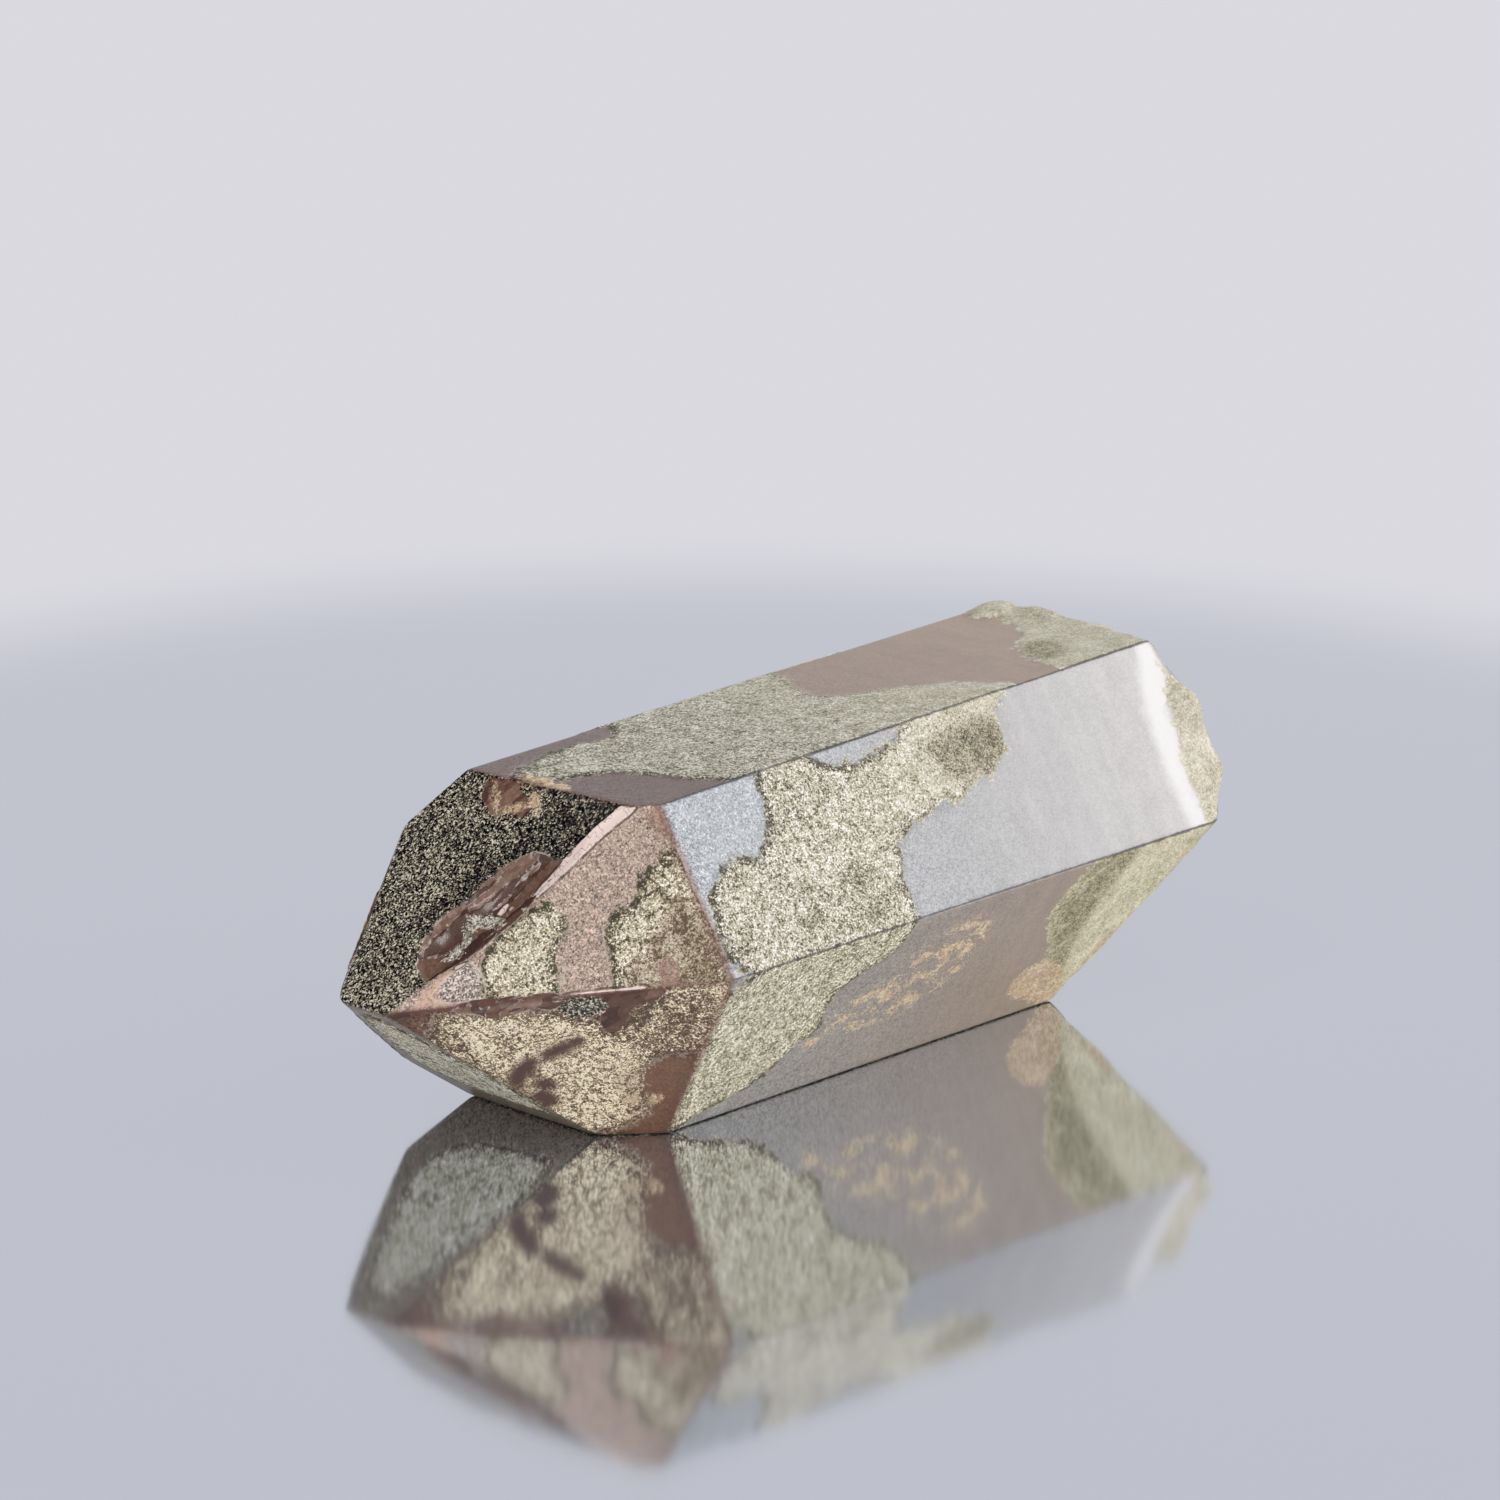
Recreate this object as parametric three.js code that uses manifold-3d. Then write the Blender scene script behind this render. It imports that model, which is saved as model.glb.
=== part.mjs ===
// Smoky quartz crystal with a thin mineral crust, lying on one prism face.
// Millimetres, +Z up. The crystal's long axis runs along X, with the point at -X
// and the broken base at +X, and the face that it rests on is the plane z = 0.
import * as THREE from "three";
import { ConvexGeometry } from "three/addons/geometries/ConvexGeometry.js";
import { mergeVertices } from "three/addons/utils/BufferGeometryUtils.js";
import Module from "manifold-3d";

const AXIS_HEIGHT = 10; // the long axis above the surface that the crystal lies on
const AXIS_SHIFT = new THREE.Vector2(0.38, -0.06); // moves the crystal's box over the origin
const CRUST = 0.18; // how far the crust stands out of the quartz
const CRUST_ROOT = 0.25; // how deep a patch of crust starts below the face
const RAGGED_STEP = 0.85; // distance between points along a ragged edge of crust
const RAGGED_DEPTH = 0.13; // how far a ragged edge wanders to each side
const BREAK_STEP = 1.2; // distance between points over the broken base
const DENSE = 7; // subdivision of a ball that only a small part of shows
const COARSE = 2; // subdivision of a small lump
const RIPPLE = 0.14; // height of the fine ripples over the broken base
const RIB = 0.2; // height of the rib round a hollow, as a share of its depth
const RIB_WIDTH = 0.25; // its width, as a share of the hollow's radius
const LUMPINESS = 0.07; // how uneven a lump of crust is, as a share of its size
const BLOCK = { length: 80, width: 30, height: 24 }; // larger than the crystal each way
const QUARTZ_COLOUR = 0x5b4a40;
const TOLERANCE = 1e-4; // distances below this count as none
const PARALLEL = 1e-6; // planes whose normals span less than this never meet

// The faces of the crystal. slope is the angle between a face's normal and the
// long axis, around is where the normal points round the axis (0 towards -Y, 90
// up), and reach is the distance from the crystal's centre, all as measured.
const FACES = {
  prismTop: { slope: 88.6, around: 91.4, reach: 10.0 },
  prismUpperFront: { slope: 89.7, around: 32.0, reach: 10.75 },
  prismLowerFront: { slope: 89.9, around: -29.7, reach: 10.05 },
  prismBottom: { slope: 90, around: -90, reach: AXIS_HEIGHT },
  prismLowerBack: { slope: 90.1, around: -148.7, reach: 10.7 },
  prismUpperBack: { slope: 89.6, around: 151.6, reach: 10.55 },
  pointTop: { slope: 49.7, around: 87.3, reach: 18.05 },
  pointUpperFront: { slope: 50.0, around: 31.3, reach: 17.75 },
  pointLowerFront: { slope: 54.8, around: -32.8, reach: 16.45 },
  pointBottom: { slope: 52.4, around: -87.6, reach: 18.35 },
  pointLowerBack: { slope: 52.5, around: -151.6, reach: 21.1 },
  pointUpperBack: { slope: 52.4, around: 153.6, reach: 20.75 },
};

// Where the crystal broke from its rock: x on each plane is at, plus perY and perZ
// for each millimetre from the long axis. The base is the lowest of them.
const BREAKS = {
  end: { at: 28.3, perY: 0.06, perZ: -0.03 },
  top: { at: 30.6, perY: 0.03, perZ: -0.4 },
  undercut: { at: 25.8, perY: 0.073, perZ: 0.727 },
  back: { at: 29.3, perY: -0.4, perZ: 0.08 },
  front: { at: 32.4, perY: 0.46, perZ: 0.1 },
};

// Conchoidal hollows in the break: the middle from the long axis, the radius and
// the depth. A low rib rings each one.
const BREAK_HOLLOWS = [
  { y: 1.8, z: 4.6, radius: 5.0, depth: 1.5 },
  { y: 7.0, z: -1.4, radius: 3.8, depth: 1.1 },
  { y: -5.0, z: 0.6, radius: 3.2, depth: 0.9 },
  { y: -0.6, z: -6.2, radius: 3.6, depth: 0.9 },
];

// Patches of crust, each an outline on one face in millimetres: along the face
// towards the base, then across it, from the foot of the centre's perpendicular.
// An outline that runs past the face's edge wraps the crust over that edge.
const CRUST_PATCHES = [
  {
    face: "prismUpperFront",
    outline: [
      [-7.4, 6.4], [-3.4, 6.4], [-3.1, 4.9], [-1.6, 4.0], [1.4, 4.1], [4.2, 4.8], [4.9, 6.4],
      [13.4, 6.4], [13, 5.0], [11.8, 4.6], [11.8, 2.7], [10.6, 1.3], [8.2, 0.8], [6.5, 0.1],
      [3.2, -0.1], [1.2, -0.9], [0, -2.9], [0.3, -5.1], [0.2, -6.6], [-14, -6.6],
      [-15.2, -5.4], [-14.4, -2.4], [-13.9, -0.5], [-12.6, 0.5], [-10.8, 1.0], [-9.4, 0.3],
      [-8.2, 1.7], [-7.7, 3.4],
    ],
  },
  {
    face: "prismUpperFront",
    outline: [[26.4, 6.4], [25.9, 2.9], [25, -0.3], [24.6, -3.3], [24.9, -6.6], [31, -6.6], [31, 6.4]],
  },
  {
    face: "prismTop",
    outline: [
      [-9, -7.4], [14.6, -7.4], [14.4, -5.8], [12.9, -3.4], [9.9, -1.5], [6.6, -0.2],
      [5.3, 1.3], [6.1, 3.7], [7.2, 5.4], [7.4, 7.4], [-6, 7.4], [-7, 4.8], [-8.8, 4.6],
      [-10.9, 5.2], [-13.4, 4.7], [-16.4, 3.6], [-17.4, 2.6], [-17.2, 0.9], [-14.6, 0.7],
      [-12.6, -0.2], [-11.4, -1.9], [-10.8, -4.2], [-9.6, -5.8],
    ],
  },
  {
    face: "prismTop",
    outline: [
      [18.6, -7.4], [18.5, -4.4], [19.2, -2.3], [21.4, -0.4], [23.4, 1.2], [24.1, 3.4],
      [23.4, 7.4], [31, 7.4], [31, -7.4],
    ],
  },
  {
    face: "prismLowerFront",
    outline: [
      [-15.6, 7.6], [0.1, 7.6], [0, 5.6], [-1.1, 4.1], [-3.0, 3.5], [-4.8, 2.0], [-4.1, -0.7],
      [-5.9, -1.5], [-7.1, -3.2], [-9.3, -4.4], [-12, -4.8], [-14.4, -6.4], [-15.8, -3],
    ],
  },
  {
    face: "prismLowerFront",
    outline: [
      [15.2, 7.6], [14.2, 5.4], [13.1, 3.8], [13.5, 1.9], [15.3, -1.0], [16.6, -3.2],
      [17, -6.4], [30, -6.4], [30, 7.6],
    ],
  },
  {
    face: "prismLowerBack",
    outline: [
      [-21.6, 1.5], [-17, 3.2], [-11, 2.4], [-6.4, 4.2], [-1, 3.1], [3.5, 1.2], [4.4, -2.6],
      [8.2, -4.1], [9.1, -7.2], [-7, -7.2], [-8.5, -4.7], [-14, -3.6], [-17.6, -7.2], [-21.6, -7.2],
    ],
  },
  {
    face: "prismLowerBack",
    outline: [[13.4, 6], [12.6, 2.8], [15.9, 0.6], [16.8, -3.2], [19.8, -7.2], [30, -7.2], [30, 6]],
  },
  {
    face: "prismUpperBack",
    outline: [
      [-8, -6.8], [-9.2, -3.9], [-6.2, -1.4], [-1.6, -2.2], [1.2, 0.6], [-0.9, 3.2], [2.8, 5.1],
      [3.4, 7.2], [14.4, 7.2], [13.1, 4.4], [15, 1.2], [12.2, -1.7], [13.9, -4], [12.8, -6.8],
    ],
  },
  {
    face: "pointUpperFront",
    outline: [
      [-4, 2.6], [-5.3, 2.7], [-6.1, 2], [-7.1, 1.7], [-7.8, 0.5], [-9.5, 0.3], [-10.2, -0.9],
      [-10.4, -2.4], [-10.8, -4.6], [-4, -6.6],
    ],
  },
  {
    face: "pointUpperFront",
    outline: [
      [-13.2, 2.5], [-12, 2], [-11.6, 0.9], [-12.7, -0.4], [-13.4, -1.7], [-13.9, -3.6],
      [-17.9, -2.4], [-17.3, -0.6], [-16.9, 0.8], [-15.2, 1.7],
    ],
  },
  {
    face: "pointLowerFront",
    outline: [
      [-21.4, -0.4], [-19, 0.3], [-16.4, 1.4], [-14.6, 1.9], [-12.6, 2], [-11.8, 1.2], [-11, 1.6],
      [-10.8, 3.4], [-9.6, 6.6], [-5.6, 8.4], [-5.2, 1.6], [-8.6, 0.9], [-8.2, -2], [-6.6, -3.8],
      [-8.2, -5.6], [-10.4, -6.9], [-20.4, -3.4],
    ],
  },
  {
    face: "pointBottom",
    outline: [[-21.4, -1.6], [-9.4, 2.6], [-9.8, -1.2], [-10.6, -5.4], [-13.6, -7], [-21.6, -4.2]],
  },
  {
    face: "pointLowerBack",
    outline: [
      [-19.6, -0.6], [-11, 2.9], [-9, 2.6], [-9.4, -1.2], [-12.4, -1.9], [-13.6, -3.6], [-16.9, -3.4],
    ],
  },
  {
    face: "pointUpperBack",
    outline: [
      [-19.4, 1.8], [-14.4, -0.4], [-12.7, 0.7], [-13.2, 2.4], [-9, 3.1], [-8.6, 6.6], [-10.6, 6.4],
      [-15, 4.9],
    ],
  },
];

// Conchoidal chips along the edges between two faces. at is how far along the edge
// the chip's middle is, length is its size along it, overFirst and overSecond are
// how far it reaches over the two faces, and hollow is how much deeper it is than
// a flat cut.
const EDGE_CHIPS = [
  { edge: "ridge", at: 0.45, length: 8.6, overFirst: 2.5, overSecond: 0.7, hollow: 0.16 },
  { edge: "ridge", at: 0.3, length: 3.4, overFirst: 2.9, overSecond: 0.8, hollow: 0.3 },
  { edge: "ridge", at: 0.5, length: 4.4, overFirst: 2.6, overSecond: 0.9, hollow: 0.32 },
  { edge: "ridge", at: 0.66, length: 2.6, overFirst: 1.5, overSecond: 0.5, hollow: 0.15 },
  { edge: "ridge", at: 0.86, length: 4.6, overFirst: 0.25, overSecond: 0.35, hollow: 0.02 },
  { edge: "frontEdge", at: 0.27, length: 2.3, overFirst: 0.3, overSecond: 0.9, hollow: 0.12 },
  { edge: "frontEdge", at: 0.4, length: 2.6, overFirst: 0.3, overSecond: 1.1, hollow: 0.14 },
  { edge: "frontEdge", at: 0.52, length: 1.8, overFirst: 0.3, overSecond: 0.7, hollow: 0.1 },
  { edge: "backRidge", at: 0.42, length: 4.2, overFirst: 1.4, overSecond: 0.9, hollow: 0.18 },
  { edge: "backRidge", at: 0.72, length: 2.4, overFirst: 0.7, overSecond: 0.9, hollow: 0.1 },
  { edge: "shoulderBack", at: 0.5, length: 2.6, overFirst: 0.8, overSecond: 0.6, hollow: 0.1 },
];

// The edges that have chips: the two faces, then the face at its start and end.
const EDGES = {
  ridge: {
    between: ["pointTop", "pointUpperFront"],
    from: "pointLowerFront",
    to: "prismTop",
  },
  frontEdge: {
    between: ["pointUpperFront", "pointLowerFront"],
    from: "pointTop",
    to: "prismLowerFront",
  },
  backRidge: {
    between: ["pointTop", "pointUpperBack"],
    from: "pointLowerBack",
    to: "prismUpperBack",
  },
  shoulderBack: {
    between: ["prismUpperBack", "pointUpperBack"],
    from: "prismTop",
    to: "prismLowerBack",
  },
};

// Lumps of crust by the broken base: middle, half sizes and turn about the
// vertical in degrees.
const LUMPS = [
  { at: [24.9, 5.5, 20.3], half: [2.1, 1.2, 0.62], yaw: 12 },
  { at: [26.2, 2.9, 20.25], half: [1.3, 1.9, 0.6], yaw: -8 },
  { at: [26.3, -1.0, 20.2], half: [1.2, 2.1, 0.5], yaw: 10 },
  { at: [26.6, -8.1, 15.8], half: [1.5, 1.2, 2.6], yaw: -24 },
  { at: [20.1, -8.4, 6.0], half: [1.9, 0.8, 1.6], yaw: -10 },
];

const centre = new THREE.Vector3(AXIS_SHIFT.x, AXIS_SHIFT.y, AXIS_HEIGHT);
const wasm = await Module();
wasm.setup();

// The plane of a face, with its reach grown by more.
function planeOf({ slope, around, reach }, more = 0) {
  const tilt = THREE.MathUtils.degToRad(slope);
  const turn = THREE.MathUtils.degToRad(around);
  const normal = new THREE.Vector3(
    -Math.cos(tilt),
    -Math.sin(tilt) * Math.cos(turn),
    Math.sin(tilt) * Math.sin(turn),
  );
  return new THREE.Plane(normal, -normal.dot(centre) - reach - more);
}

// The point where three planes meet, or null where they don't.
function meetingPoint(a, b, c) {
  const rows = new THREE.Matrix3().set(...a.normal, ...b.normal, ...c.normal);
  if (Math.abs(rows.determinant()) < PARALLEL) return null;
  const sides = new THREE.Vector3(-a.constant, -b.constant, -c.constant);
  return sides.applyMatrix3(rows.invert());
}

// The convex body inside every plane: its corners are the meeting points that
// no plane cuts off.
function convexBody(planes) {
  const corners = [];
  planes.forEach((a, i) =>
    planes.slice(i + 1).forEach((b, j) =>
      planes.slice(i + j + 2).forEach((c) => {
        const point = meetingPoint(a, b, c);
        if (point && planes.every((p) => p.distanceToPoint(point) < TOLERANCE)) {
          corners.push(point);
        }
      }),
    ),
  );
  return new ConvexGeometry(corners);
}

// A closed geometry as a solid that can be joined and cut.
function solidOf(geometry) {
  geometry.deleteAttribute("normal");
  geometry.deleteAttribute("uv");
  const merged = mergeVertices(geometry, TOLERANCE / 10);
  return new wasm.Manifold(
    new wasm.Mesh({
      numProp: 3,
      vertProperties: new Float32Array(merged.attributes.position.array),
      triVerts: new Uint32Array(merged.index.array),
    }),
  );
}

// A solid's surface as a geometry.
function geometryOf(solid) {
  const { numProp, vertProperties, triVerts } = solid.getMesh();
  const points = new THREE.InterleavedBuffer(vertProperties, numProp);
  const geometry = new THREE.BufferGeometry();
  geometry.setAttribute("position", new THREE.InterleavedBufferAttribute(points, 3, 0));
  geometry.setIndex(new THREE.BufferAttribute(triVerts, 1));
  const flat = geometry.toNonIndexed();
  flat.computeVertexNormals();
  return flat;
}

// The turn and place that carry a drawing onto a face: X towards the base, Y
// across, Z out of the face, from the foot of the centre's perpendicular.
function faceFrame(face) {
  const { normal } = planeOf(face);
  const along = new THREE.Vector3(1, 0, 0).projectOnPlane(normal).normalize();
  const across = new THREE.Vector3().crossVectors(normal, along);
  const foot = centre.clone().addScaledVector(normal, face.reach);
  return new THREE.Matrix4().makeBasis(along, across, normal).setPosition(foot);
}

// A smooth closed curve through an outline's points, with a point every
// RAGGED_STEP that two crossed waves move to and fro.
function raggedOutline(outline) {
  const points = outline.map(([s, t]) => new THREE.Vector3(s, t, 0));
  const curve = new THREE.CatmullRomCurve3(points, true, "centripetal");
  const steps = Math.round(curve.getLength() / RAGGED_STEP);
  return curve
    .getSpacedPoints(steps)
    .slice(0, steps)
    .map(({ x, y }, i) => {
      const sideways = RAGGED_DEPTH * Math.sin(2.4 * i + x);
      const lengthways = RAGGED_DEPTH * Math.sin(1.7 * i + 2 * y);
      return new THREE.Vector2(x + sideways, y + lengthways);
    });
}

// A patch of crust: its outline carried straight through the layer of crust.
function crustPatch({ face, outline }, layer) {
  const drawn = new THREE.ExtrudeGeometry(new THREE.Shape(raggedOutline(outline)), {
    depth: CRUST_ROOT + 2 * CRUST,
    bevelEnabled: false,
  });
  drawn.translate(0, 0, -CRUST_ROOT);
  drawn.applyMatrix4(faceFrame(FACES[face]));
  return layer.intersect(solidOf(drawn));
}

// How far the broken base lies from the crystal's centre at a point y and z from
// the long axis: the lowest break, less the bowl of each hollow, with fine ripples.
function breakAt(y, z) {
  const planes = Object.values(BREAKS).map(({ at, perY, perZ }) => at + perY * y + perZ * z);
  const bowls = BREAK_HOLLOWS.map((hollow) => {
    const away = Math.hypot(y - hollow.y, z - hollow.z) / hollow.radius;
    const bowl = Math.max(0, 1 - away * away);
    const rib = Math.exp(-(((away - 1) / RIB_WIDTH) ** 2));
    return hollow.depth * (bowl - RIB * rib);
  });
  const ripple = RIPPLE * Math.sin(1.9 * y + 0.8 * z) * Math.sin(1.3 * z - 0.9 * y);
  return Math.min(...planes) - bowls.reduce((sum, bowl) => sum + bowl) + ripple;
}

// Everything on the crystal's side of the break, as a block whose end is the break.
function keptSide() {
  const { length, width, height } = BLOCK;
  const across = Math.round(width / BREAK_STEP);
  const upwards = Math.round(height / BREAK_STEP);
  const block = new THREE.BoxGeometry(length, width, height, 1, across, upwards);
  const place = block.attributes.position;
  for (let i = 0; i < place.count; i += 1) {
    if (place.getX(i) > 0) place.setX(i, breakAt(place.getY(i), place.getZ(i)));
  }
  return solidOf(block.translate(centre.x, centre.y, centre.z));
}

// A ball stretched to half sizes, with ripples so that it looks grown.
function stretchedBall(half, detail, ripple) {
  const ball = new THREE.IcosahedronGeometry(1, detail);
  const place = ball.attributes.position;
  const stretch = new THREE.Vector3(...half);
  const point = new THREE.Vector3();
  for (let i = 0; i < place.count; i += 1) {
    point.fromBufferAttribute(place, i);
    const wave = Math.sin(5 * point.x + 1) * Math.cos(5 * point.y) + Math.sin(5 * point.z);
    point.multiplyScalar(1 + ripple * wave).multiply(stretch);
    place.setXYZ(i, point.x, point.y, point.z);
  }
  return ball;
}

// A lump of crust, turned and put in its place.
function lump({ at, half, yaw }) {
  const ball = stretchedBall(half, COARSE, LUMPINESS);
  ball.rotateZ(THREE.MathUtils.degToRad(yaw));
  return solidOf(ball.translate(at[0] + AXIS_SHIFT.x, at[1] + AXIS_SHIFT.y, at[2]));
}

// The ball whose underside is one chip. Seen along the edge, a chord joins the
// chip's two limits on the faces, and the ball's arc bulges hollow below it.
function chipBall({ edge, at, length, overFirst, overSecond, hollow }) {
  const { between, from, to } = EDGES[edge];
  const [first, second] = between.map((name) => planeOf(FACES[name]));
  const start = meetingPoint(first, second, planeOf(FACES[from]));
  const finish = meetingPoint(first, second, planeOf(FACES[to]));
  const along = finish.clone().sub(start).normalize();
  const downFirst = new THREE.Vector3().crossVectors(along, first.normal);
  if (downFirst.dot(second.normal) > 0) downFirst.negate();
  const downSecond = new THREE.Vector3().crossVectors(along, second.normal);
  if (downSecond.dot(first.normal) > 0) downSecond.negate();
  const limits = [downFirst.multiplyScalar(overFirst), downSecond.multiplyScalar(overSecond)];
  const chord = limits[0].clone().sub(limits[1]);
  const out = new THREE.Vector3().crossVectors(chord, along).normalize();
  if (out.dot(first.normal) < 0) out.negate();
  const half = chord.length() / 2;
  const radius = (half * half + hollow * hollow) / (2 * hollow);
  const middle = start.clone().lerp(finish, at).addScaledVector(limits[0], 0.5);
  middle.addScaledVector(limits[1], 0.5).addScaledVector(out, radius - hollow);
  const ball = stretchedBall([(radius * length) / (2 * half), radius, radius], DENSE, 0);
  const side = new THREE.Vector3().crossVectors(out, along);
  const turn = new THREE.Matrix4().makeBasis(along, side, out);
  return solidOf(ball.applyMatrix4(turn.setPosition(middle)));
}

// A solid without the hairline bubbles and crumbs that its joins and cuts leave.
function largestPiece(solid) {
  return solid.decompose().reduce((a, b) => (b.volume() > a.volume() ? b : a));
}

// The crystal: the quartz, its crust, and what has broken off both.
function crystal() {
  const farEnd = new THREE.Plane(new THREE.Vector3(1, 0, 0), -2 * FACES.pointUpperBack.reach);
  const faces = Object.entries(FACES);
  const bare = [...faces.map(([, face]) => planeOf(face)), farEnd];
  const grown = faces.map(([name, face]) => planeOf(face, name === "prismBottom" ? 0 : CRUST));
  const layer = solidOf(convexBody([...grown, farEnd]));
  let body = solidOf(convexBody(bare));
  for (const patch of CRUST_PATCHES) body = body.add(crustPatch(patch, layer));
  body = body.intersect(keptSide());
  for (const place of LUMPS) body = body.add(lump(place));
  for (const chip of EDGE_CHIPS) body = body.subtract(chipBall(chip));
  return geometryOf(largestPiece(body));
}

const object = new THREE.Group();
const smokyQuartz = new THREE.Mesh(
  crystal(),
  new THREE.MeshStandardMaterial({ color: QUARTZ_COLOUR, roughness: 0.25, metalness: 0 }),
);
smokyQuartz.name = "smoky_quartz_crystal";
object.add(smokyQuartz);

export default object;
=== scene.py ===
"""A smoky quartz crystal with a thin, grainy mineral crust, lying on one prism face.

The long axis runs along X with the point at -X. Shapes are worked out in
millimetres and a mesh holds metres.
"""

import math

import bpy
import numpy as np
from mathutils import Matrix, Vector


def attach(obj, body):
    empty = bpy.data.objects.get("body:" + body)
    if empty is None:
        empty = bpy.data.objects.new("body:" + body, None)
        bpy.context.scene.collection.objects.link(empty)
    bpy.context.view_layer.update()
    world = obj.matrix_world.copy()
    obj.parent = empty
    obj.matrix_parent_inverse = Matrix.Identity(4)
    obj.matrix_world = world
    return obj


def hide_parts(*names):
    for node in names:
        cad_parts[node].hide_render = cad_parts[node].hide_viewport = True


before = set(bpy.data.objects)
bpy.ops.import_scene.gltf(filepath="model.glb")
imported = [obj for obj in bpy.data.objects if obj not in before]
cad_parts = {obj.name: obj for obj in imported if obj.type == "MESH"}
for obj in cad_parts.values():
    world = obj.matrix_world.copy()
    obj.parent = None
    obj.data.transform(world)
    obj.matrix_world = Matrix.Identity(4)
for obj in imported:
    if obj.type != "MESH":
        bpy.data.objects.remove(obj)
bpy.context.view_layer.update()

MM = 0.001  # metres in a millimetre
CENTRE = np.array([0.38, -0.06, 10.0])  # the middle of the crystal's long axis
CRUST = 0.09  # how far the crust stands out of the quartz
CRUST_SLOPE = (-0.06, 0.16)  # depths in a patch between which the crust rises
CRUST_LUMPS = (0.7, 0.33)  # sizes of its coarse and fine unevenness
ROUNDING = 14.0  # sharpness of the crystal's edges, per millimetre
CRISPNESS = 4  # how much sharper the edges of stains and colours are
TRACE = 0.003  # the share of a face below which its stains aren't worked out
SEED = 7  # of all the noise
LATTICE = 64  # how many random numbers there are along each side of the noise
SHARP = 32.0  # edges that turn by more degrees than this look sharp

# The faces of the crystal: the angle between a face's normal and the long axis,
# where the normal points round the axis (0 towards -Y, 90 up), and the distance
# from the crystal's middle.
FACES = {
    "top": (88.6, 91.4, 10.0),
    "upper front": (89.7, 32.0, 10.75),
    "lower front": (89.9, -29.7, 10.05),
    "bottom": (90.0, -90.0, 10.0),
    "lower back": (90.1, -148.7, 10.7),
    "upper back": (89.6, 151.6, 10.55),
    "point top": (49.7, 87.3, 18.05),
    "point upper front": (50.0, 31.3, 17.75),
    "point lower front": (54.8, -32.8, 16.45),
    "point bottom": (52.4, -87.6, 18.35),
    "point lower back": (52.5, -151.6, 21.1),
    "point upper back": (52.4, 153.6, 20.75),
}

# Where the crystal broke from its rock: x on each plane is the first number, plus
# the others for each millimetre of y and z from the long axis.
BREAKS = [
    (28.3, 0.06, -0.03),
    (30.6, 0.03, -0.4),
    (25.8, 0.073, 0.727),
    (29.3, -0.4, 0.08),
    (32.4, 0.46, 0.1),
]

# Conchoidal hollows in the break: y and z from the long axis, radius and depth.
BREAK_HOLLOWS = [
    (1.8, 4.6, 5.0, 1.5),
    (7.0, -1.4, 3.8, 1.1),
    (-5.0, 0.6, 3.2, 0.9),
    (-0.6, -6.2, 3.6, 0.9),
]
RIB = 0.2  # height of the rib round a hollow, as a share of its depth
RIB_WIDTH = 0.25  # its width, as a share of the hollow's radius
RIPPLE = 0.14  # height of the ripples over the broken base
STRIDE = 0.05  # half the distance over which the break's slope is taken

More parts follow.
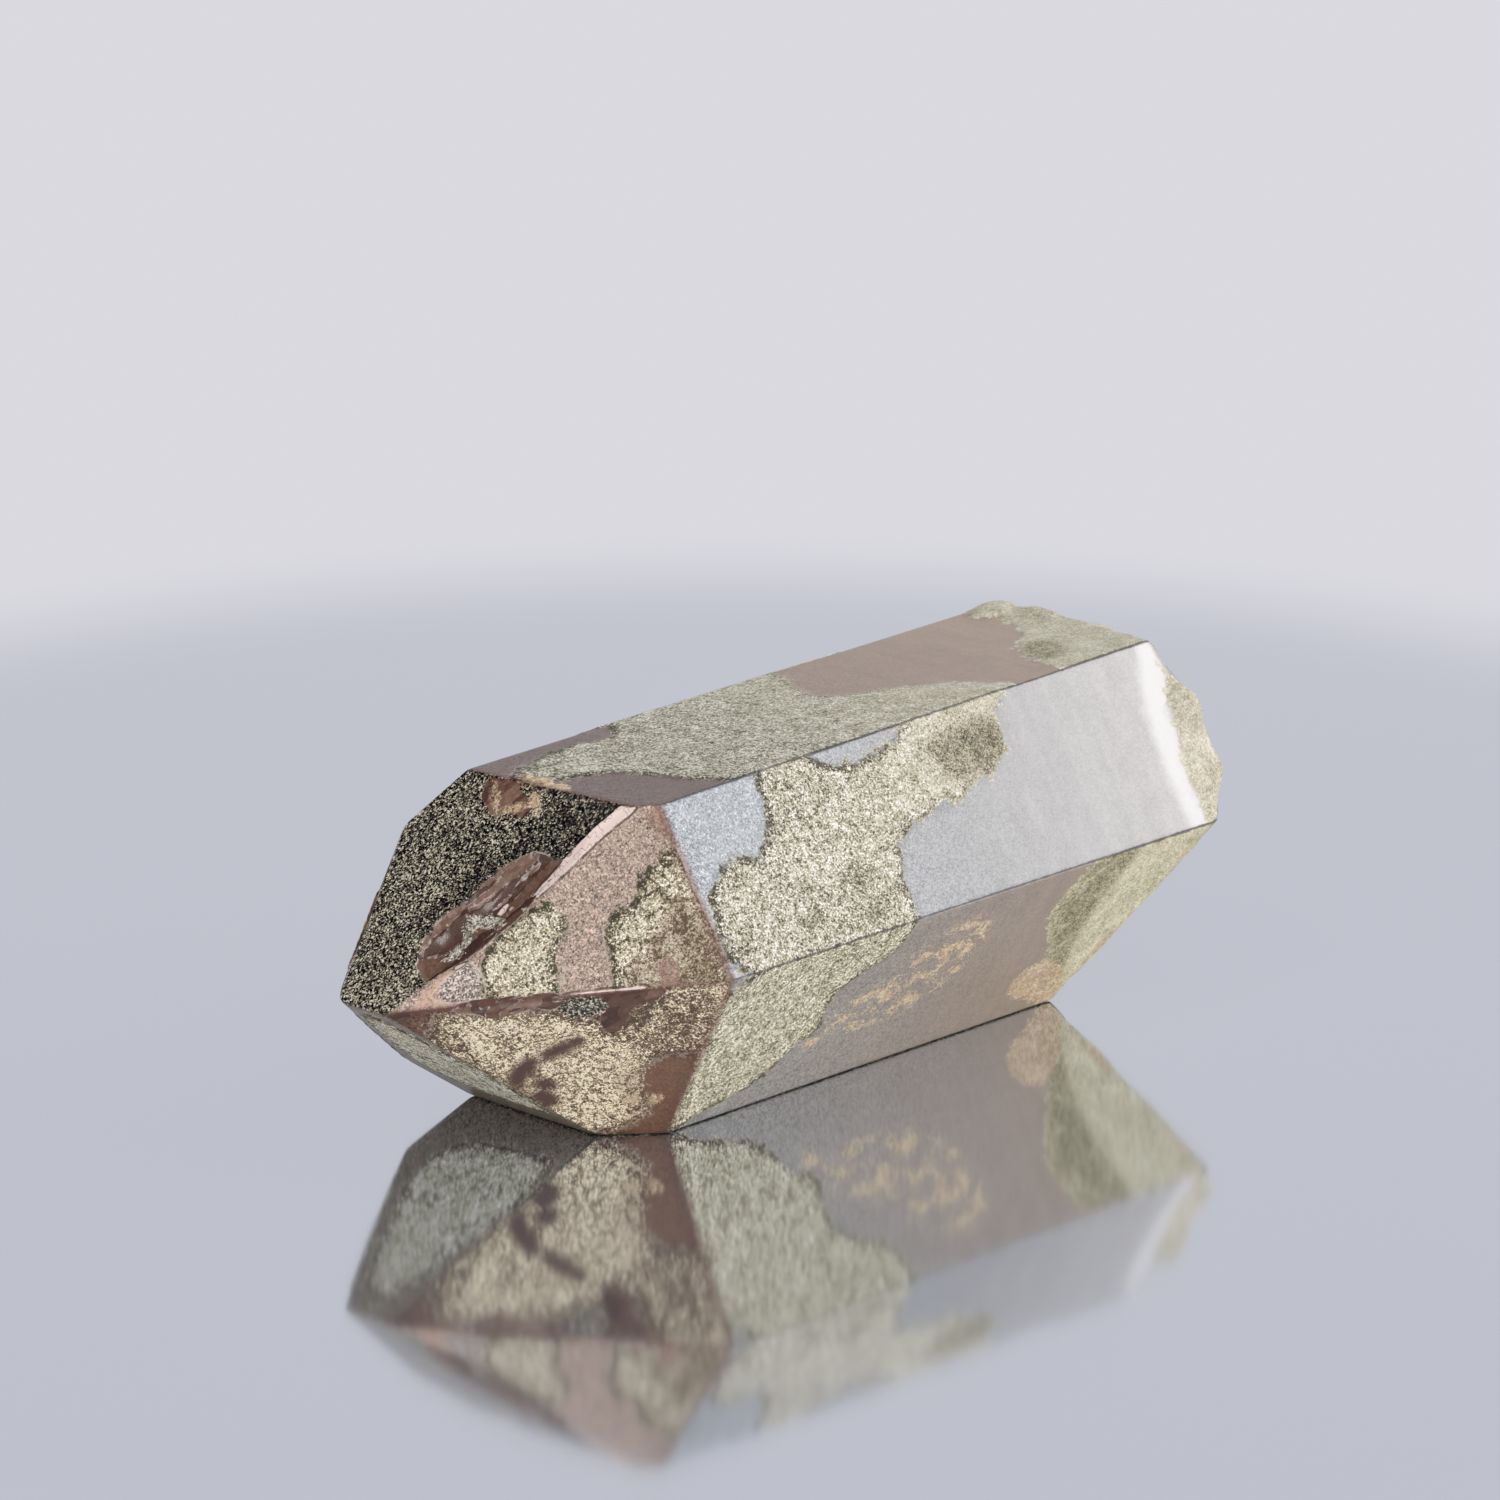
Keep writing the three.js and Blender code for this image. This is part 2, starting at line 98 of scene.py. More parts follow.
# Patches of crust, as outlines on faces. An outline is a row of numbers, two for
# each corner: millimetres along the face towards the base, then across it.
CRUST_PATCHES = {
    "upper front": [
        [-7.4, 6.4, -3.4, 6.4, -3.1, 4.9, -1.6, 4, 1.4, 4.1, 4.2, 4.8, 4.9, 6.4, 13.4, 6.4, 13, 5,
         11.8, 4.6, 11.8, 2.7, 10.6, 1.3, 8.2, 0.8, 6.5, 0.1, 3.2, -0.1, 1.2, -0.9, 0, -2.9, 0.3, -5.1,
         0.2, -6.6, -12.9, -6.6, -13.4, -5.6, -14.5, -4.8, -14.4, -2.4, -13.9, -0.5, -12.6, 0.5, -10.8, 1,
         -9.4, 0.3, -8.2, 1.7, -7.7, 3.4],
        [26.4, 6.4, 25.9, 2.9, 25, -0.3, 24.6, -3.3, 24.9, -6.6, 31, -6.6, 31, 6.4],
    ],
    "top": [
        [-9, -7.4, 14.6, -7.4, 14.4, -5.8, 12.9, -3.4, 9.9, -1.5, 6.6, -0.2, 5.3, 1.3, 6.1, 3.7, 7.2, 5.4,
         7.4, 7.4, -6, 7.4, -7, 4.8, -8.8, 4.6, -10.9, 5.2, -13.4, 4.7, -16.4, 3.6, -17.4, 2.6, -17.2, 0.9,
         -14.6, 0.7, -12.6, -0.2, -11.4, -1.9, -10.8, -4.2, -9.6, -5.8],
        [18.6, -7.4, 18.5, -4.4, 19.2, -2.3, 21.4, -0.4, 23.4, 1.2, 24.1, 3.4, 23.4, 7.4, 31, 7.4,
         31, -7.4],
    ],
    "lower front": [
        [-15.6, 7.6, 0.1, 7.6, 0, 5.6, -1.1, 4.1, -3, 3.5, -4.8, 2, -4.1, -0.7, -5.9, -1.5, -7.1, -3.2,
         -9.3, -4.4, -12, -4.8, -14.4, -6.4, -15.8, -3],
        [15.2, 7.6, 14.2, 5.4, 13.1, 3.8, 13.5, 1.9, 15.3, -1, 16.6, -3.2, 17, -6.4, 30, -6.4, 30, 7.6],
    ],
    "lower back": [
        [-21.6, 1.5, -17, 3.2, -11, 2.4, -6.4, 4.2, -1, 3.1, 3.5, 1.2, 4.4, -2.6, 8.2, -4.1, 9.1, -7.2,
         -7, -7.2, -8.5, -4.7, -14, -3.6, -17.6, -7.2, -21.6, -7.2],
        [13.4, 6, 12.6, 2.8, 15.9, 0.6, 16.8, -3.2, 19.8, -7.2, 30, -7.2, 30, 6],
    ],
    "upper back": [
        [-8, -6.8, -9.2, -3.9, -6.2, -1.4, -1.6, -2.2, 1.2, 0.6, -0.9, 3.2, 2.8, 5.1, 3.4, 7.2, 14.4, 7.2,
         13.1, 4.4, 15, 1.2, 12.2, -1.7, 13.9, -4, 12.8, -6.8],
    ],
    "point upper front": [
        [-4, 2.6, -5.3, 2.7, -6.1, 2, -7.1, 1.7, -7.8, 0.5, -9.5, 0.3, -10.2, -0.9, -10.4, -2.4,
         -10.8, -4.6, -4, -6.6],
        [-13.2, 2.5, -12, 2, -11.6, 0.9, -12.7, -0.4, -13.4, -1.7, -13.9, -3.6, -17.9, -2.4, -17.3, -0.6,
         -16.9, 0.8, -15.2, 1.7],
    ],
    "point lower front": [
        [-21.4, -0.4, -19, 0.3, -16.4, 1.4, -14.6, 1.9, -12.6, 2, -11.8, 1.2, -11, 1.6, -10.8, 3.4,
         -9.6, 6.6, -5.6, 8.4, -5.2, 1.6, -8.6, 0.9, -8.2, -2, -6.6, -3.8, -8.2, -5.6, -10.4, -6.9,
         -20.4, -3.4],
    ],
    "point bottom": [[-21.4, -1.6, -9.4, 2.6, -9.8, -1.2, -10.6, -5.4, -13.6, -7, -21.6, -4.2]],
    "point lower back": [
        [-19.6, -0.6, -11, 2.9, -9, 2.6, -9.4, -1.2, -12.4, -1.9, -13.6, -3.6, -16.9, -3.4],
    ],
    "point upper back": [
        [-19.4, 1.8, -14.4, -0.4, -12.7, 0.7, -13.2, 2.4, -9, 3.1, -8.6, 6.6, -10.6, 6.4, -15, 4.9],
    ],
}

# Edges that chips break: the two faces, then the face at the start and the end.
EDGES = {
    "ridge": ("point top", "point upper front", "point lower front", "top"),
    "front edge": ("point upper front", "point lower front", "point top", "lower front"),
    "back ridge": ("point top", "point upper back", "point lower back", "upper back"),
    "back shoulder": ("upper back", "point upper back", "top", "lower back"),
}

# Chips: where the middle is as a share of the edge, the length along the edge, how
# far it reaches over the first and the second face, and how much it is hollowed.
CHIPS = [
    ("ridge", 0.45, 8.6, 2.5, 0.7, 0.16),
    ("ridge", 0.3, 3.4, 2.9, 0.8, 0.3),
    ("ridge", 0.5, 4.4, 2.6, 0.9, 0.32),
    ("ridge", 0.66, 2.6, 1.5, 0.5, 0.15),
    ("front edge", 0.27, 2.3, 0.3, 0.7, 0.12),
    ("front edge", 0.36, 1.5, 0.3, 0.6, 0.16),
    ("front edge", 0.45, 1.8, 0.3, 0.7, 0.14),
    ("back ridge", 0.42, 4.2, 0.12, 0.9, 0.1),
    ("back ridge", 0.47, 1.6, 0.1, 0.6, 0.08),
    ("back ridge", 0.72, 2.4, 0.1, 0.9, 0.06),
    ("back shoulder", 0.5, 2.6, 0.8, 0.6, 0.1),
]

# Steps in the broken stone of the chips: their height, their size along and across
# the ridge, and how many there are to a millimetre across it.
LEDGE = 0.09
LEDGE_SIZES = (2.8, 0.42)
LEDGES_ACROSS = 1.2
LEDGE_DEPTH = 0.3  # depth in a chip from which they have their full height
MOST_LEDGES = 2.0  # steps above and below the middle one

# The narrow flat bevel along the top of the ridge, given as the chips are.
BEVEL = ("ridge", 0.83, 7.4, 0.5, 0.3, 0.02)

# Lumps of crust by the broken base: middle, half sizes, turn in degrees.
LUMPS = [
    ((24.9, 5.5, 20.3), (2.1, 1.2, 0.62), 12),
    ((26.2, 2.9, 20.25), (1.3, 1.9, 0.6), -8),
    ((26.3, -1.0, 20.2), (1.2, 2.1, 0.5), 10),
    ((26.6, -8.1, 15.8), (1.5, 1.2, 2.6), -24),
    ((20.1, -8.4, 6.0), (1.9, 0.8, 1.6), -10),
]
LUMP_CRUST = 4  # how deep a lump lies in crust, as a multiple of its height

# Stains and finishes, each as outlines on faces like the crust's patches.
WHOLE = [-45, -20, 45, -20, 45, 20, -45, 20]
INSIDE, OUTSIDE = 2.0, -2.0  # depths well inside and well outside an outline
STAINS = {
    # broken stone along the ridge and the front edge
    "chip": {
        "point top": [
            [-9.6, -4.2, -10.2, -3, -10.4, -1.8, -10.4, -1, -11, -0.4, -11.7, 0.2, -12.3, 0.5, -13.2, 0.8,
             -14.1, 0.8, -14.9, 1.2, -15.6, 1.6, -16.7, 1.8, -17.6, 1.9, -18.5, 1.6, -19.3, 1.1, -19.9, 0.1,
             -20.4, -1.6, -14, -6],
        ],
        "point upper front": [
            [-20.4, 2.4, -19.9, 0.9, -18.3, 1.1, -17.3, 1.2, -16.7, 1.2, -15.8, 1.5, -14.9, 1.9, -13.9, 2.3,
             -12.9, 2.9, -12.3, 3.2, -11.4, 3.7, -10.5, 4.4, -12, 7],
        ],
        "point lower front": [
            [-19.6, 0.9, -18.8, 0.4, -18.2, 0.3, -17.3, 0.9, -16.4, 1.7, -15.2, 2.1, -14.7, 2.7, -14.8, 4.2,
             -17, 3.4, -19.4, 2.2],
        ],
    },
    # smooth brown stone with nothing on it
    "brown": {
        "point top": [
            [-7.9, 5.4, -7.3, 5.4, -6.9, 4.2, -6.8, 3.4, -7.3, 2.7, -7.6, 1.8, -8.2, 1.2, -8.8, 1.3,
             -8.9, 1.8, -8.8, 2.6, -9.1, 2.8, -9.5, 3, -9.3, 3.8, -8.7, 4.7],
        ],
        "point lower front": [
            [-13, 4.2, -10.1, 6.2, -9.8, 4.7, -11.2, 3.6, -10.9, 2, -11.3, 1.2, -12.2, 1.8, -12.4, 2.4,
             -12.2, 3.3, -12.8, 3.7],
            [-24.4, -1.4, -22.4, 0.3, -22.3, -1.7, -23.4, -1.6],
        ],
    },
    # see-through quartz with nothing on it but scattered specks
    "clear": {
        "point top": [WHOLE],
        "bottom": [WHOLE],
        "point lower front": [
            [-14.9, 2.5, -14.9, 3.1, -14.1, 3.6, -12.8, 3.8, -12.3, 3.3, -12.6, 2.4, -13.8, 1.7,
             -14.5, 1.6],
        ],
    },
    # fresh clear quartz, only on the broken base
    "fresh": {},
    # fewer specks
    "sparse": {
        "point top": [
            [-6.8, 0.8, -5.2, 0.2, -4.4, -4.6, -6.6, -5.6, -9.4, -3.9, -11.2, -2.6, -12.2, -0.6, -11.4, 0.6,
             -8.8, 0.2, -7.6, 0.2],
            [-18.5, 0.9, -17.2, 2.6, -13.6, 2.8, -11.8, 1.8, -11, 0.2, -12.5, 0.2, -14.5, 0.6, -16.4, 1.4],
        ],
    },
    # crust that lies on a chip
    "regrown": {
        "point top": [
            [-15.6, 0.5, -15.1, -0.2, -14.4, -1, -14.4, -1.7, -15.2, -2.1, -15.4, -1, -15.9, -0.5,
             -16.7, -0.7, -17.7, -0.7, -18.5, -0.1, -17.6, 0.1, -16.9, -0.1],
            [-17.1, -1.8, -16.2, -2.4, -15, -3.1, -15.2, -3.8, -16.7, -3.4, -17.6, -2.9, -18.5, -1.3,
             -17.9, -1.3],
        ],
    },
    # thin crust on brown stone
    "rusty": {"point lower front": [WHOLE]},
    # rosy film where the crust has come off
    "rosy": {"point upper front": [[-7.8, -2.9, -7.1, -3, -6.9, -4, -7.4, -4.7, -8.1, -4.5, -8.2, -3.6]]},
    # pinkish margin of the whitish film
    "peach": {
        "point upper front": [
            [-21.6, -0.5, -20.3, 0.2, -19.3, 0.7, -18.3, 1.1, -17.8, 0.9, -18.8, 0.4, -19.8, 0, -19.8, -0.7,
             -19.1, -1.1, -20.1, -1.1],
        ],
    },
    # reddish brown
    "ruddy": {
        "point upper front": [
            [-5.2, 5.2, -4.4, 4.6, -4.4, 3.4, -5, 3.2, -5.9, 4.4],
            [-10.8, -3.6, -8.8, -2.6, -7, -1, -5.4, 0.4, -4.2, -2.4, -4.6, -5.4, -8.2, -4.6],
        ],
        "point lower front": [
            [-10, -1.4, -8, 0.4, -6.3, 1.2, -5, -2.2, -5, -5.4, -7.8, -6.4, -8.5, -3.3, -9.4, -2.7],
        ],
    },
    # thin, dark, olive crust
    "olive": {
        "upper front": [
            [5.5, 3.6, 8, 4.4, 11.5, 4.4, 11.9, 3, 11.2, 1.9, 9.5, 1.2, 7.2, 1.2, 6, 2.2],
            [-4.6, -2.5, -2.7, -1.6, -1.2, -2.3, -2.8, -2.9],
            [-4.3, -4.7, -2.4, -3.6, -1.4, -4, -2.9, -5],
            [-8.7, -3.9, -6.9, -3.1, -6.5, -3.8, -8.2, -4.6],
        ],
        "top": [[19.1, -2.4, 20.7, -1.1, 22.4, -1.5, 22.7, -3.2, 20.4, -5, 19, -4.3]],
        "point lower front": [
            [-22.3, -0.8, -21.1, 0.1, -20.8, -1, -20.7, -2.4, -21.6, -1.9],
            [-14.9, 2.8, -12.4, 3.9, -12.2, 3, -13, 2, -14.2, 2, -15.1, 2.1],
            [-11.4, 3.2, -10.5, 5.2, -7.1, 6.9, -6, 3.2, -6.1, 0.2, -8.4, -0.4, -10.2, 1.1],
            [-22, -1.8, -21.1, -0.3, -19.2, -1.6, -15.8, -3.5, -12.8, -5, -14.8, -5.5, -18.3, -3.9,
             -20.6, -3.2],
        ],
        "point upper front": [
            [-5.9, 2.8, -5.2, 2.7, -4.4, 2.3, -4.6, 1.5, -5.9, 1.7, -6.1, 2.3],
            [-7.3, 1.8, -6.4, 1.9, -6.1, 1.5, -7.1, 0.4, -7.8, 0.1, -8.9, 0.2, -9.7, -0.1, -9.6, 0.3,
             -8.2, 0.7, -7.4, 0.9],
            [-6.2, -1, -5.1, -1.6, -4.4, -5.2, -8.4, -4.7, -6, -3.6],
        ],
        "lower front": [[12.6, 3.9, 14.6, 7.6, 19.5, 7.6, 17, 2, 17.4, -2, 18, -6, 15.8, -2, 14.4, 0.5]],
    },
    # cream to golden: golden spots, painted glints on the point's lower front, and a painted glow where
    # light shines through the thin rim by the base on the lower front
    "gold": {
        "point top": [
            [-7.3, 5.1, -7.2, 4.6, -8.3, 3.7, -9.4, 2.7, -9.5, 3, -8.4, 4.1],
            [-8.6, 3.4, -8.4, 2.6, -8, 2.2, -8.2, 1.5, -8.9, 2.2, -9.2, 2.9],
            [-7, 2.3, -6.9, 1.6, -7.5, 0.9, -8.3, 0.5, -8.4, 0.8, -7.7, 1.6],
        ],
        "top": [[-15.5, 3.2, -15.6, 1, -15.3, -0.2, -15.9, -0.7, -17.6, -1.4, -17.9, 2.4]],
        "point lower front": [
            [-8.8, -2.9, -7.9, -2.8, -7.9, -3.4, -8.7, -3.5],
            [-7.7, -2.5, -6.7, -2.4, -6.7, -3.1, -7.4, -3.2],
        ],
        "lower front": [
            [12.7, -3, 13.4, -1.6, 15.2, -1.1, 17, -2.1, 18.2, -4, 18.2, -6.4, 16.2, -5.2, 13.9, -4.3],
            [24.3, 7.3, 22.4, 1, 19.8, -1.1, 19, -3.1, 18.3, -5.4, 21, -6, 31, -6, 31, 8],
        ],
    },
    # where golden flecks lie scattered
    "flecks": {
        "lower front": [
            [7.4, 5.3, 4.6, 5.2, 1.6, 4.2, -0.6, 1.9, -3, 0.8, -5.7, -0.6, -5, -2.4, -2.4, -2.2, 2.2, -1.8,
             6, -1, 7.9, 2.3],
        ],
    },
    # whitish film
    "pale": {
        "point upper front": [
            [-20.3, -0.3, -19.6, 0.1, -18.6, 0.6, -17.7, 0.85, -17.3, 0.5, -17.1, -0.2, -17.3, -1.2,
             -17.6, -1.5, -19.5, -1],
        ],
        "upper front": [[9.3, 5.6, 11.3, 5.6, 10.6, 4.7, 9, 4.8]],
    },
    # film with painted glitter: sparkling grains made lighter
    "glitter": {
        "point upper front": [WHOLE],
        "upper front": [[-17, 7, -7, 7, -7, -7, -17, -7]],
    },
    # bright flat strips at edges, and two small painted glints: the smallest outlines on the point's top
    # and upper front
    "bright": {
        "point top": [
            [-5.4, -4.3, -6, -4.3, -8, -3.6, -10.3, -2.95, -12, -2.6, -13.2, -2.35, -13.6, -4.5, -5, -7],
            [-14.5, -0.9, -13.7, -1, -13.6, -1.3, -14.4, -1.3],
        ],
        "point upper front": [
            [-6.7, 6.4, -5.7, 5.9, -5.8, 5.4, -6.4, 5.1, -7, 4.95, -8.6, 4.4, -10.7, 3.45, -12.5, 2.85,
             -13, 2.8, -12.6, 4],
            [-13.5, -2.8, -11.6, -3.3, -10.2, -3.7, -8.9, -4, -8.9, -4.5, -13.5, -3.3],
            [-18.5, 0.95, -17.8, 0.95, -17.9, 0.75, -18.4, 0.7],
        ],
    },
    # a whitish strip along the rim of the base, and one corner of painted glints
    "worn": {
        "upper front": [
            [25.2, 6.8, 26.9, 6.8, 26.2, 2.9, 25.2, -0.3, 24.8, -3.3, 25, -6.6, 23.6, -6.6, 23.3, -3,
             23.4, 0.8, 24.2, 3.6],
            [-15.2, -5.4, -14.3, -5.5, -13.6, -5.9, -13.4, -6.6, -15.2, -6.6],
        ],
    },
    # purplish brown, smooth
    "purple": {
        "point lower front": [
            [-14.5, -1.2, -14.1, -0.4, -12.8, 0.6, -12.7, 0.1, -13.4, -1.1, -14.2, -1.8],
            [-15.7, -3.6, -15.5, -2.3, -14.5, -1.8, -14.5, -2.9, -14.4, -4.3, -15.1, -4.2],
            [-14.3, -3.6, -13.3, -3, -12.7, -3.6, -13.6, -4],
            [-13.8, -4.5, -13.1, -4, -11.9, -4.6, -12.5, -5.3],
        ],
    },
}

# The film's colour on each face, at three places along the crystal, and a factor on
# the crust's own colours there: painted light and shade, lighter on some faces, darker on others.
FILM_PLACES = (-10.0, 6.0, 26.0)
# The silver film lightens towards the base: painted sheen where it mirrors the window light.
SILVER_AND_SHEEN = ((154, 159, 162), (158, 158, 158), (186, 183, 179))
TAUPE = ((112, 93, 83), (158, 138, 120), (172, 152, 132))
FAWN = ((166, 162, 154), (167, 153, 139), (176, 151, 124))
ROSE = ((178, 156, 140),) * 3
RUST = ((116, 84, 66),) * 3
DRAB = ((150, 136, 118),) * 3
FILMS = {
    "top": (TAUPE, (0.93, 0.95, 0.94)),
    "upper front": (SILVER_AND_SHEEN, (0.98, 0.98, 0.98)),
    "lower front": (FAWN, (1.24, 1.23, 1.12)),
    "bottom": (DRAB, (1.1, 1.1, 1.1)),
    "lower back": (FAWN, (1.1, 1.12, 1.12)),
    "upper back": (TAUPE, (1.0, 1.0, 1.04)),
    "point top": (DRAB, (0.9, 0.9, 0.88)),
    "point upper front": (ROSE, (1.16, 1.1, 1.02)),
    "point lower front": (RUST, (1.5, 1.44, 1.32)),
    "point bottom": (DRAB, (1.55, 1.55, 1.5)),
    "point lower back": (DRAB, (1.1, 1.08, 1.04)),
    "point upper back": (TAUPE, (1.0, 1.0, 1.0)),
}
BREAK_FILM = (DRAB, (1.0, 1.0, 1.0))

# Edges with a dark line along them, and edges with a reddish one.
DARK_EDGES = [("top", "upper front"), ("upper front", "lower front"), ("point lower front", "point bottom")]
RED_EDGES = [
    ("upper front", "point upper front"), ("lower front", "point lower front"),
    ("point upper front", "point lower front"), ("top", "point top"),
]

BREAK_FIELDS = {"clear": INSIDE, "fresh": INSIDE}  # depths on the broken base

# How finely the surface is drawn: steps along the crystal from the base to the
# shoulder, over the shoulder, and down the two halves of the point; steps across
# each of the six sides, which start at the upper front one; rings over the base.
STEPS_ALONG = (104, 14, 56, 78)
STEPS_ACROSS = (66, 60, 36, 44, 46, 72)
BASE_RINGS = 18
EDGE_CROWDING = 0.75  # how much closer the steps are beside an edge
SHOULDER_CROWDING = 0.45  # how much closer they are towards the point

NAMES = list(FACES)
BROKEN = len(NAMES)  # the place of the broken base, after the faces
SLOPE, AROUND, REACH = np.array(list(FACES.values())).T
SLOPE, AROUND = np.radians([SLOPE, AROUND])
NORMALS = np.stack(
    [-np.cos(SLOPE), -np.sin(SLOPE) * np.cos(AROUND), np.sin(SLOPE) * np.sin(AROUND)], axis=1
)

# Directions on each face, towards the base and across it, and the point on the face
# that is nearest the crystal's middle.
ALONG = np.array([1.0, 0.0, 0.0]) - NORMALS[:, :1] * NORMALS
ALONG /= np.linalg.norm(ALONG, axis=1, keepdims=True)
ACROSS = np.cross(NORMALS, ALONG)
FEET = CENTRE + REACH[:, None] * NORMALS


def unit(vectors):
    """Vectors divided by their own lengths."""
    return vectors / np.linalg.norm(vectors, axis=-1, keepdims=True)


def meet(*names):
    """The point where three faces meet: the solution of the three plane equations."""
    picked = [NAMES.index(name) for name in names]
    return np.linalg.solve(NORMALS[picked], NORMALS[picked] @ CENTRE + REACH[picked])


def halfway(first, second, start, end):
    """The middle of the edge between two faces, which two others end."""
    return (meet(first, second, start) + meet(first, second, end)) / 2


def smooth(value, low, high):
    """0 below low, 1 above high, and 3x^2 - 2x^3 between them."""
    share = np.clip((value - low) / (high - low), 0.0, 1.0)
    return share * share * (3.0 - 2.0 * share)


def break_at(y, z):
    """How far the break lies from the crystal's middle: the lowest plane, less the
    bowl 1 - r^2 of each hollow with a rib round it, plus crossed sine ripples."""
    y, z = y - CENTRE[1], z - CENTRE[2]
    x = np.min([at + per_y * y + per_z * z for at, per_y, per_z in BREAKS], axis=0)
    for middle_y, middle_z, radius, depth in BREAK_HOLLOWS:
        away = np.hypot(y - middle_y, z - middle_z) / radius
        x -= depth * (np.maximum(0.0, 1.0 - away**2) - RIB * np.exp(-(((away - 1) / RIB_WIDTH) ** 2)))
    return CENTRE[0] + x + RIPPLE * np.sin(1.9 * y + 0.8 * z) * np.sin(1.3 * z - 0.9 * y)


def to_break(points, along):
    """Points slid along a direction until they reach the break, by four repeated
    corrections of x."""
    for _ in range(4):
        short = break_at(points[..., 1], points[..., 2]) - points[..., 0]
        points = points + short[..., None] / along[..., :1] * along
    return points


def waypoints():
    """The six lengthways edges of the crystal, each by its points at the break, the
    start and the end of the shoulder, part of the way down the point, and the tip."""
    left = halfway("point top", "point lower front", "point upper front", "point bottom")
    right = halfway("point top", "point lower back", "point bottom", "point upper back")
    front = halfway("upper front", "lower front", "point upper front", "point lower front")
    back = halfway("lower back", "upper back", "point lower back", "point upper back")
    ridge = meet("top", "point top", "point upper front")
    under = meet("bottom", "point lower front", "point bottom")
    low = meet("bottom", "lower back", "point bottom")
    high = meet("top", "upper back", "point top")
    corners = [
        [meet("top", "upper front", "point upper front"), ridge, ridge + 0.38 * (left - ridge), left],
        [front, front + 0.1 * (left - front), front + 0.45 * (left - front), left],
        [meet("bottom", "lower front", "point lower front"), under, under + 0.4 * (left - under), left],
        [low, low, meet("lower back", "point bottom", "point lower back"), right],
        [back, back, back, right],
        [high, high, meet("upper back", "point top", "point upper back"), right],
    ]
    prism = NAMES[:6]
    edges = []
    for i, points in enumerate(corners):
        pair = (prism[i], prism[(i + 1) % 6])
        line = np.cross(*NORMALS[[prism.index(name) for name in pair]])
        line *= np.sign(line[0])
        start = to_break(points[0], line)
        edges.append([start, *points])
    return np.array(edges)


def spread(steps, crowding):
    """Shares from 0 to 1 that crowd at both ends: x - c sin(2 pi x) / (2 pi)."""
    x = np.linspace(0.0, 1.0, steps + 1)
    return x - crowding * np.sin(2 * np.pi * x) / (2 * np.pi)


def noise(points, size, seed):
    """Smooth noise from -1 to 1: seeded random numbers on a lattice of cubes, blended
    between the eight corners of the cube that holds each point."""
    place = points / size + 1000.0  # far enough to leave no place below 0
    cell = np.floor(place).astype(int)
    share = place - cell
    share = share * share * (3.0 - 2.0 * share)
    table = np.random.default_rng(seed).uniform(-1.0, 1.0, (LATTICE, LATTICE, LATTICE))
    value = 0.0
    for corner in np.ndindex(2, 2, 2):
        weight = np.prod(np.where(corner, share, 1.0 - share), axis=1)
        value = value + weight * table[tuple(((cell + corner) % LATTICE).T)]
    return value


def rounded(outline):
    """An outline with its corners cut twice, each time a quarter of the way along
    both sides."""
    points = np.array(outline, float).reshape(-1, 2)
    for _ in range(2):
        ahead = np.roll(points, -1, axis=0)
        points = np.stack([0.75 * points + 0.25 * ahead, 0.25 * points + 0.75 * ahead], axis=1)
        points = points.reshape(-1, 2)
    return points


def depth_inside(outline, s, t):
    """How far points are inside an outline, below 0 outside it: the distance to the
    nearest side, with its sign from how many sides a ray along s crosses."""
    start = rounded(outline)
    side = np.roll(start, -1, axis=0) - start
    away = np.stack([s, t], axis=1)[:, None] - start
    share = np.clip((away * side).sum(-1) / (side**2).sum(-1), 0.0, 1.0)
    gap = np.linalg.norm(away - share[..., None] * side, axis=-1).min(axis=1)
    crosses = (away[..., 1] >= 0.0) != (away[..., 1] >= side[:, 1])
    slope = np.where(side[:, 1] == 0.0, 1.0, side[:, 1])
    before = away[..., 0] < away[..., 1] / slope * side[:, 0]
    inside = (crosses & before).sum(axis=1) % 2 == 1
    return np.where(inside, gap, -gap)


def grid():
    """The plain crystal as one grid of points, rows by columns. A row runs round the
    crystal; between two lengthways edges it is a straight line on one face. The rows
    go from the middle of the base out to its rim, then along to the tip."""
    edges = waypoints()
    stations = []
    for stretch, steps in enumerate(STEPS_ALONG):
        share = np.arange(steps) / steps
        if stretch == 0:
            share = share + SHOULDER_CROWDING * share * (1.0 - share)
        stations.extend(stretch + share)
    stations = np.append(stations, len(STEPS_ALONG))
    stretch = np.minimum(stations.astype(int), len(STEPS_ALONG) - 1)
    share = (stations - stretch)[:, None]
    lines = (1.0 - share) * edges[:, stretch] + share * edges[:, stretch + 1]
    reach = np.clip(1.0 - stations, 0.0, 1.0)[:, None, None]
    sides = []
    for i, steps in enumerate(STEPS_ACROSS):
        across = spread(steps, EDGE_CROWDING)[:-1]
        face = (i + 1) % 6
        left, right = lines[i][:, None], lines[(i + 1) % 6][:, None]
        points = left + across[:, None] * (right - left)
        if NAMES[face] == "top":
            # At the tip the top's steps fall in pairs on the bottom's, half as many.
            paired = across[np.arange(steps) // 2 * 2]
            points[-1] = left[-1] + paired[:, None] * (right[-1] - left[-1])
        slid = to_break(points[0], ALONG[face]) - points[0]
        sides.append(points + reach * slid)
    body = np.concatenate(sides, axis=1)
    rim = body[0, :, 1:]
    middle = rim.mean(axis=0)
    share = np.arange(BASE_RINGS)[:, None, None] / BASE_RINGS
    flat = middle + share * (rim - middle)
    base = np.concatenate([break_at(flat[..., 0], flat[..., 1])[..., None], flat], axis=2)
    return np.concatenate([base, body])


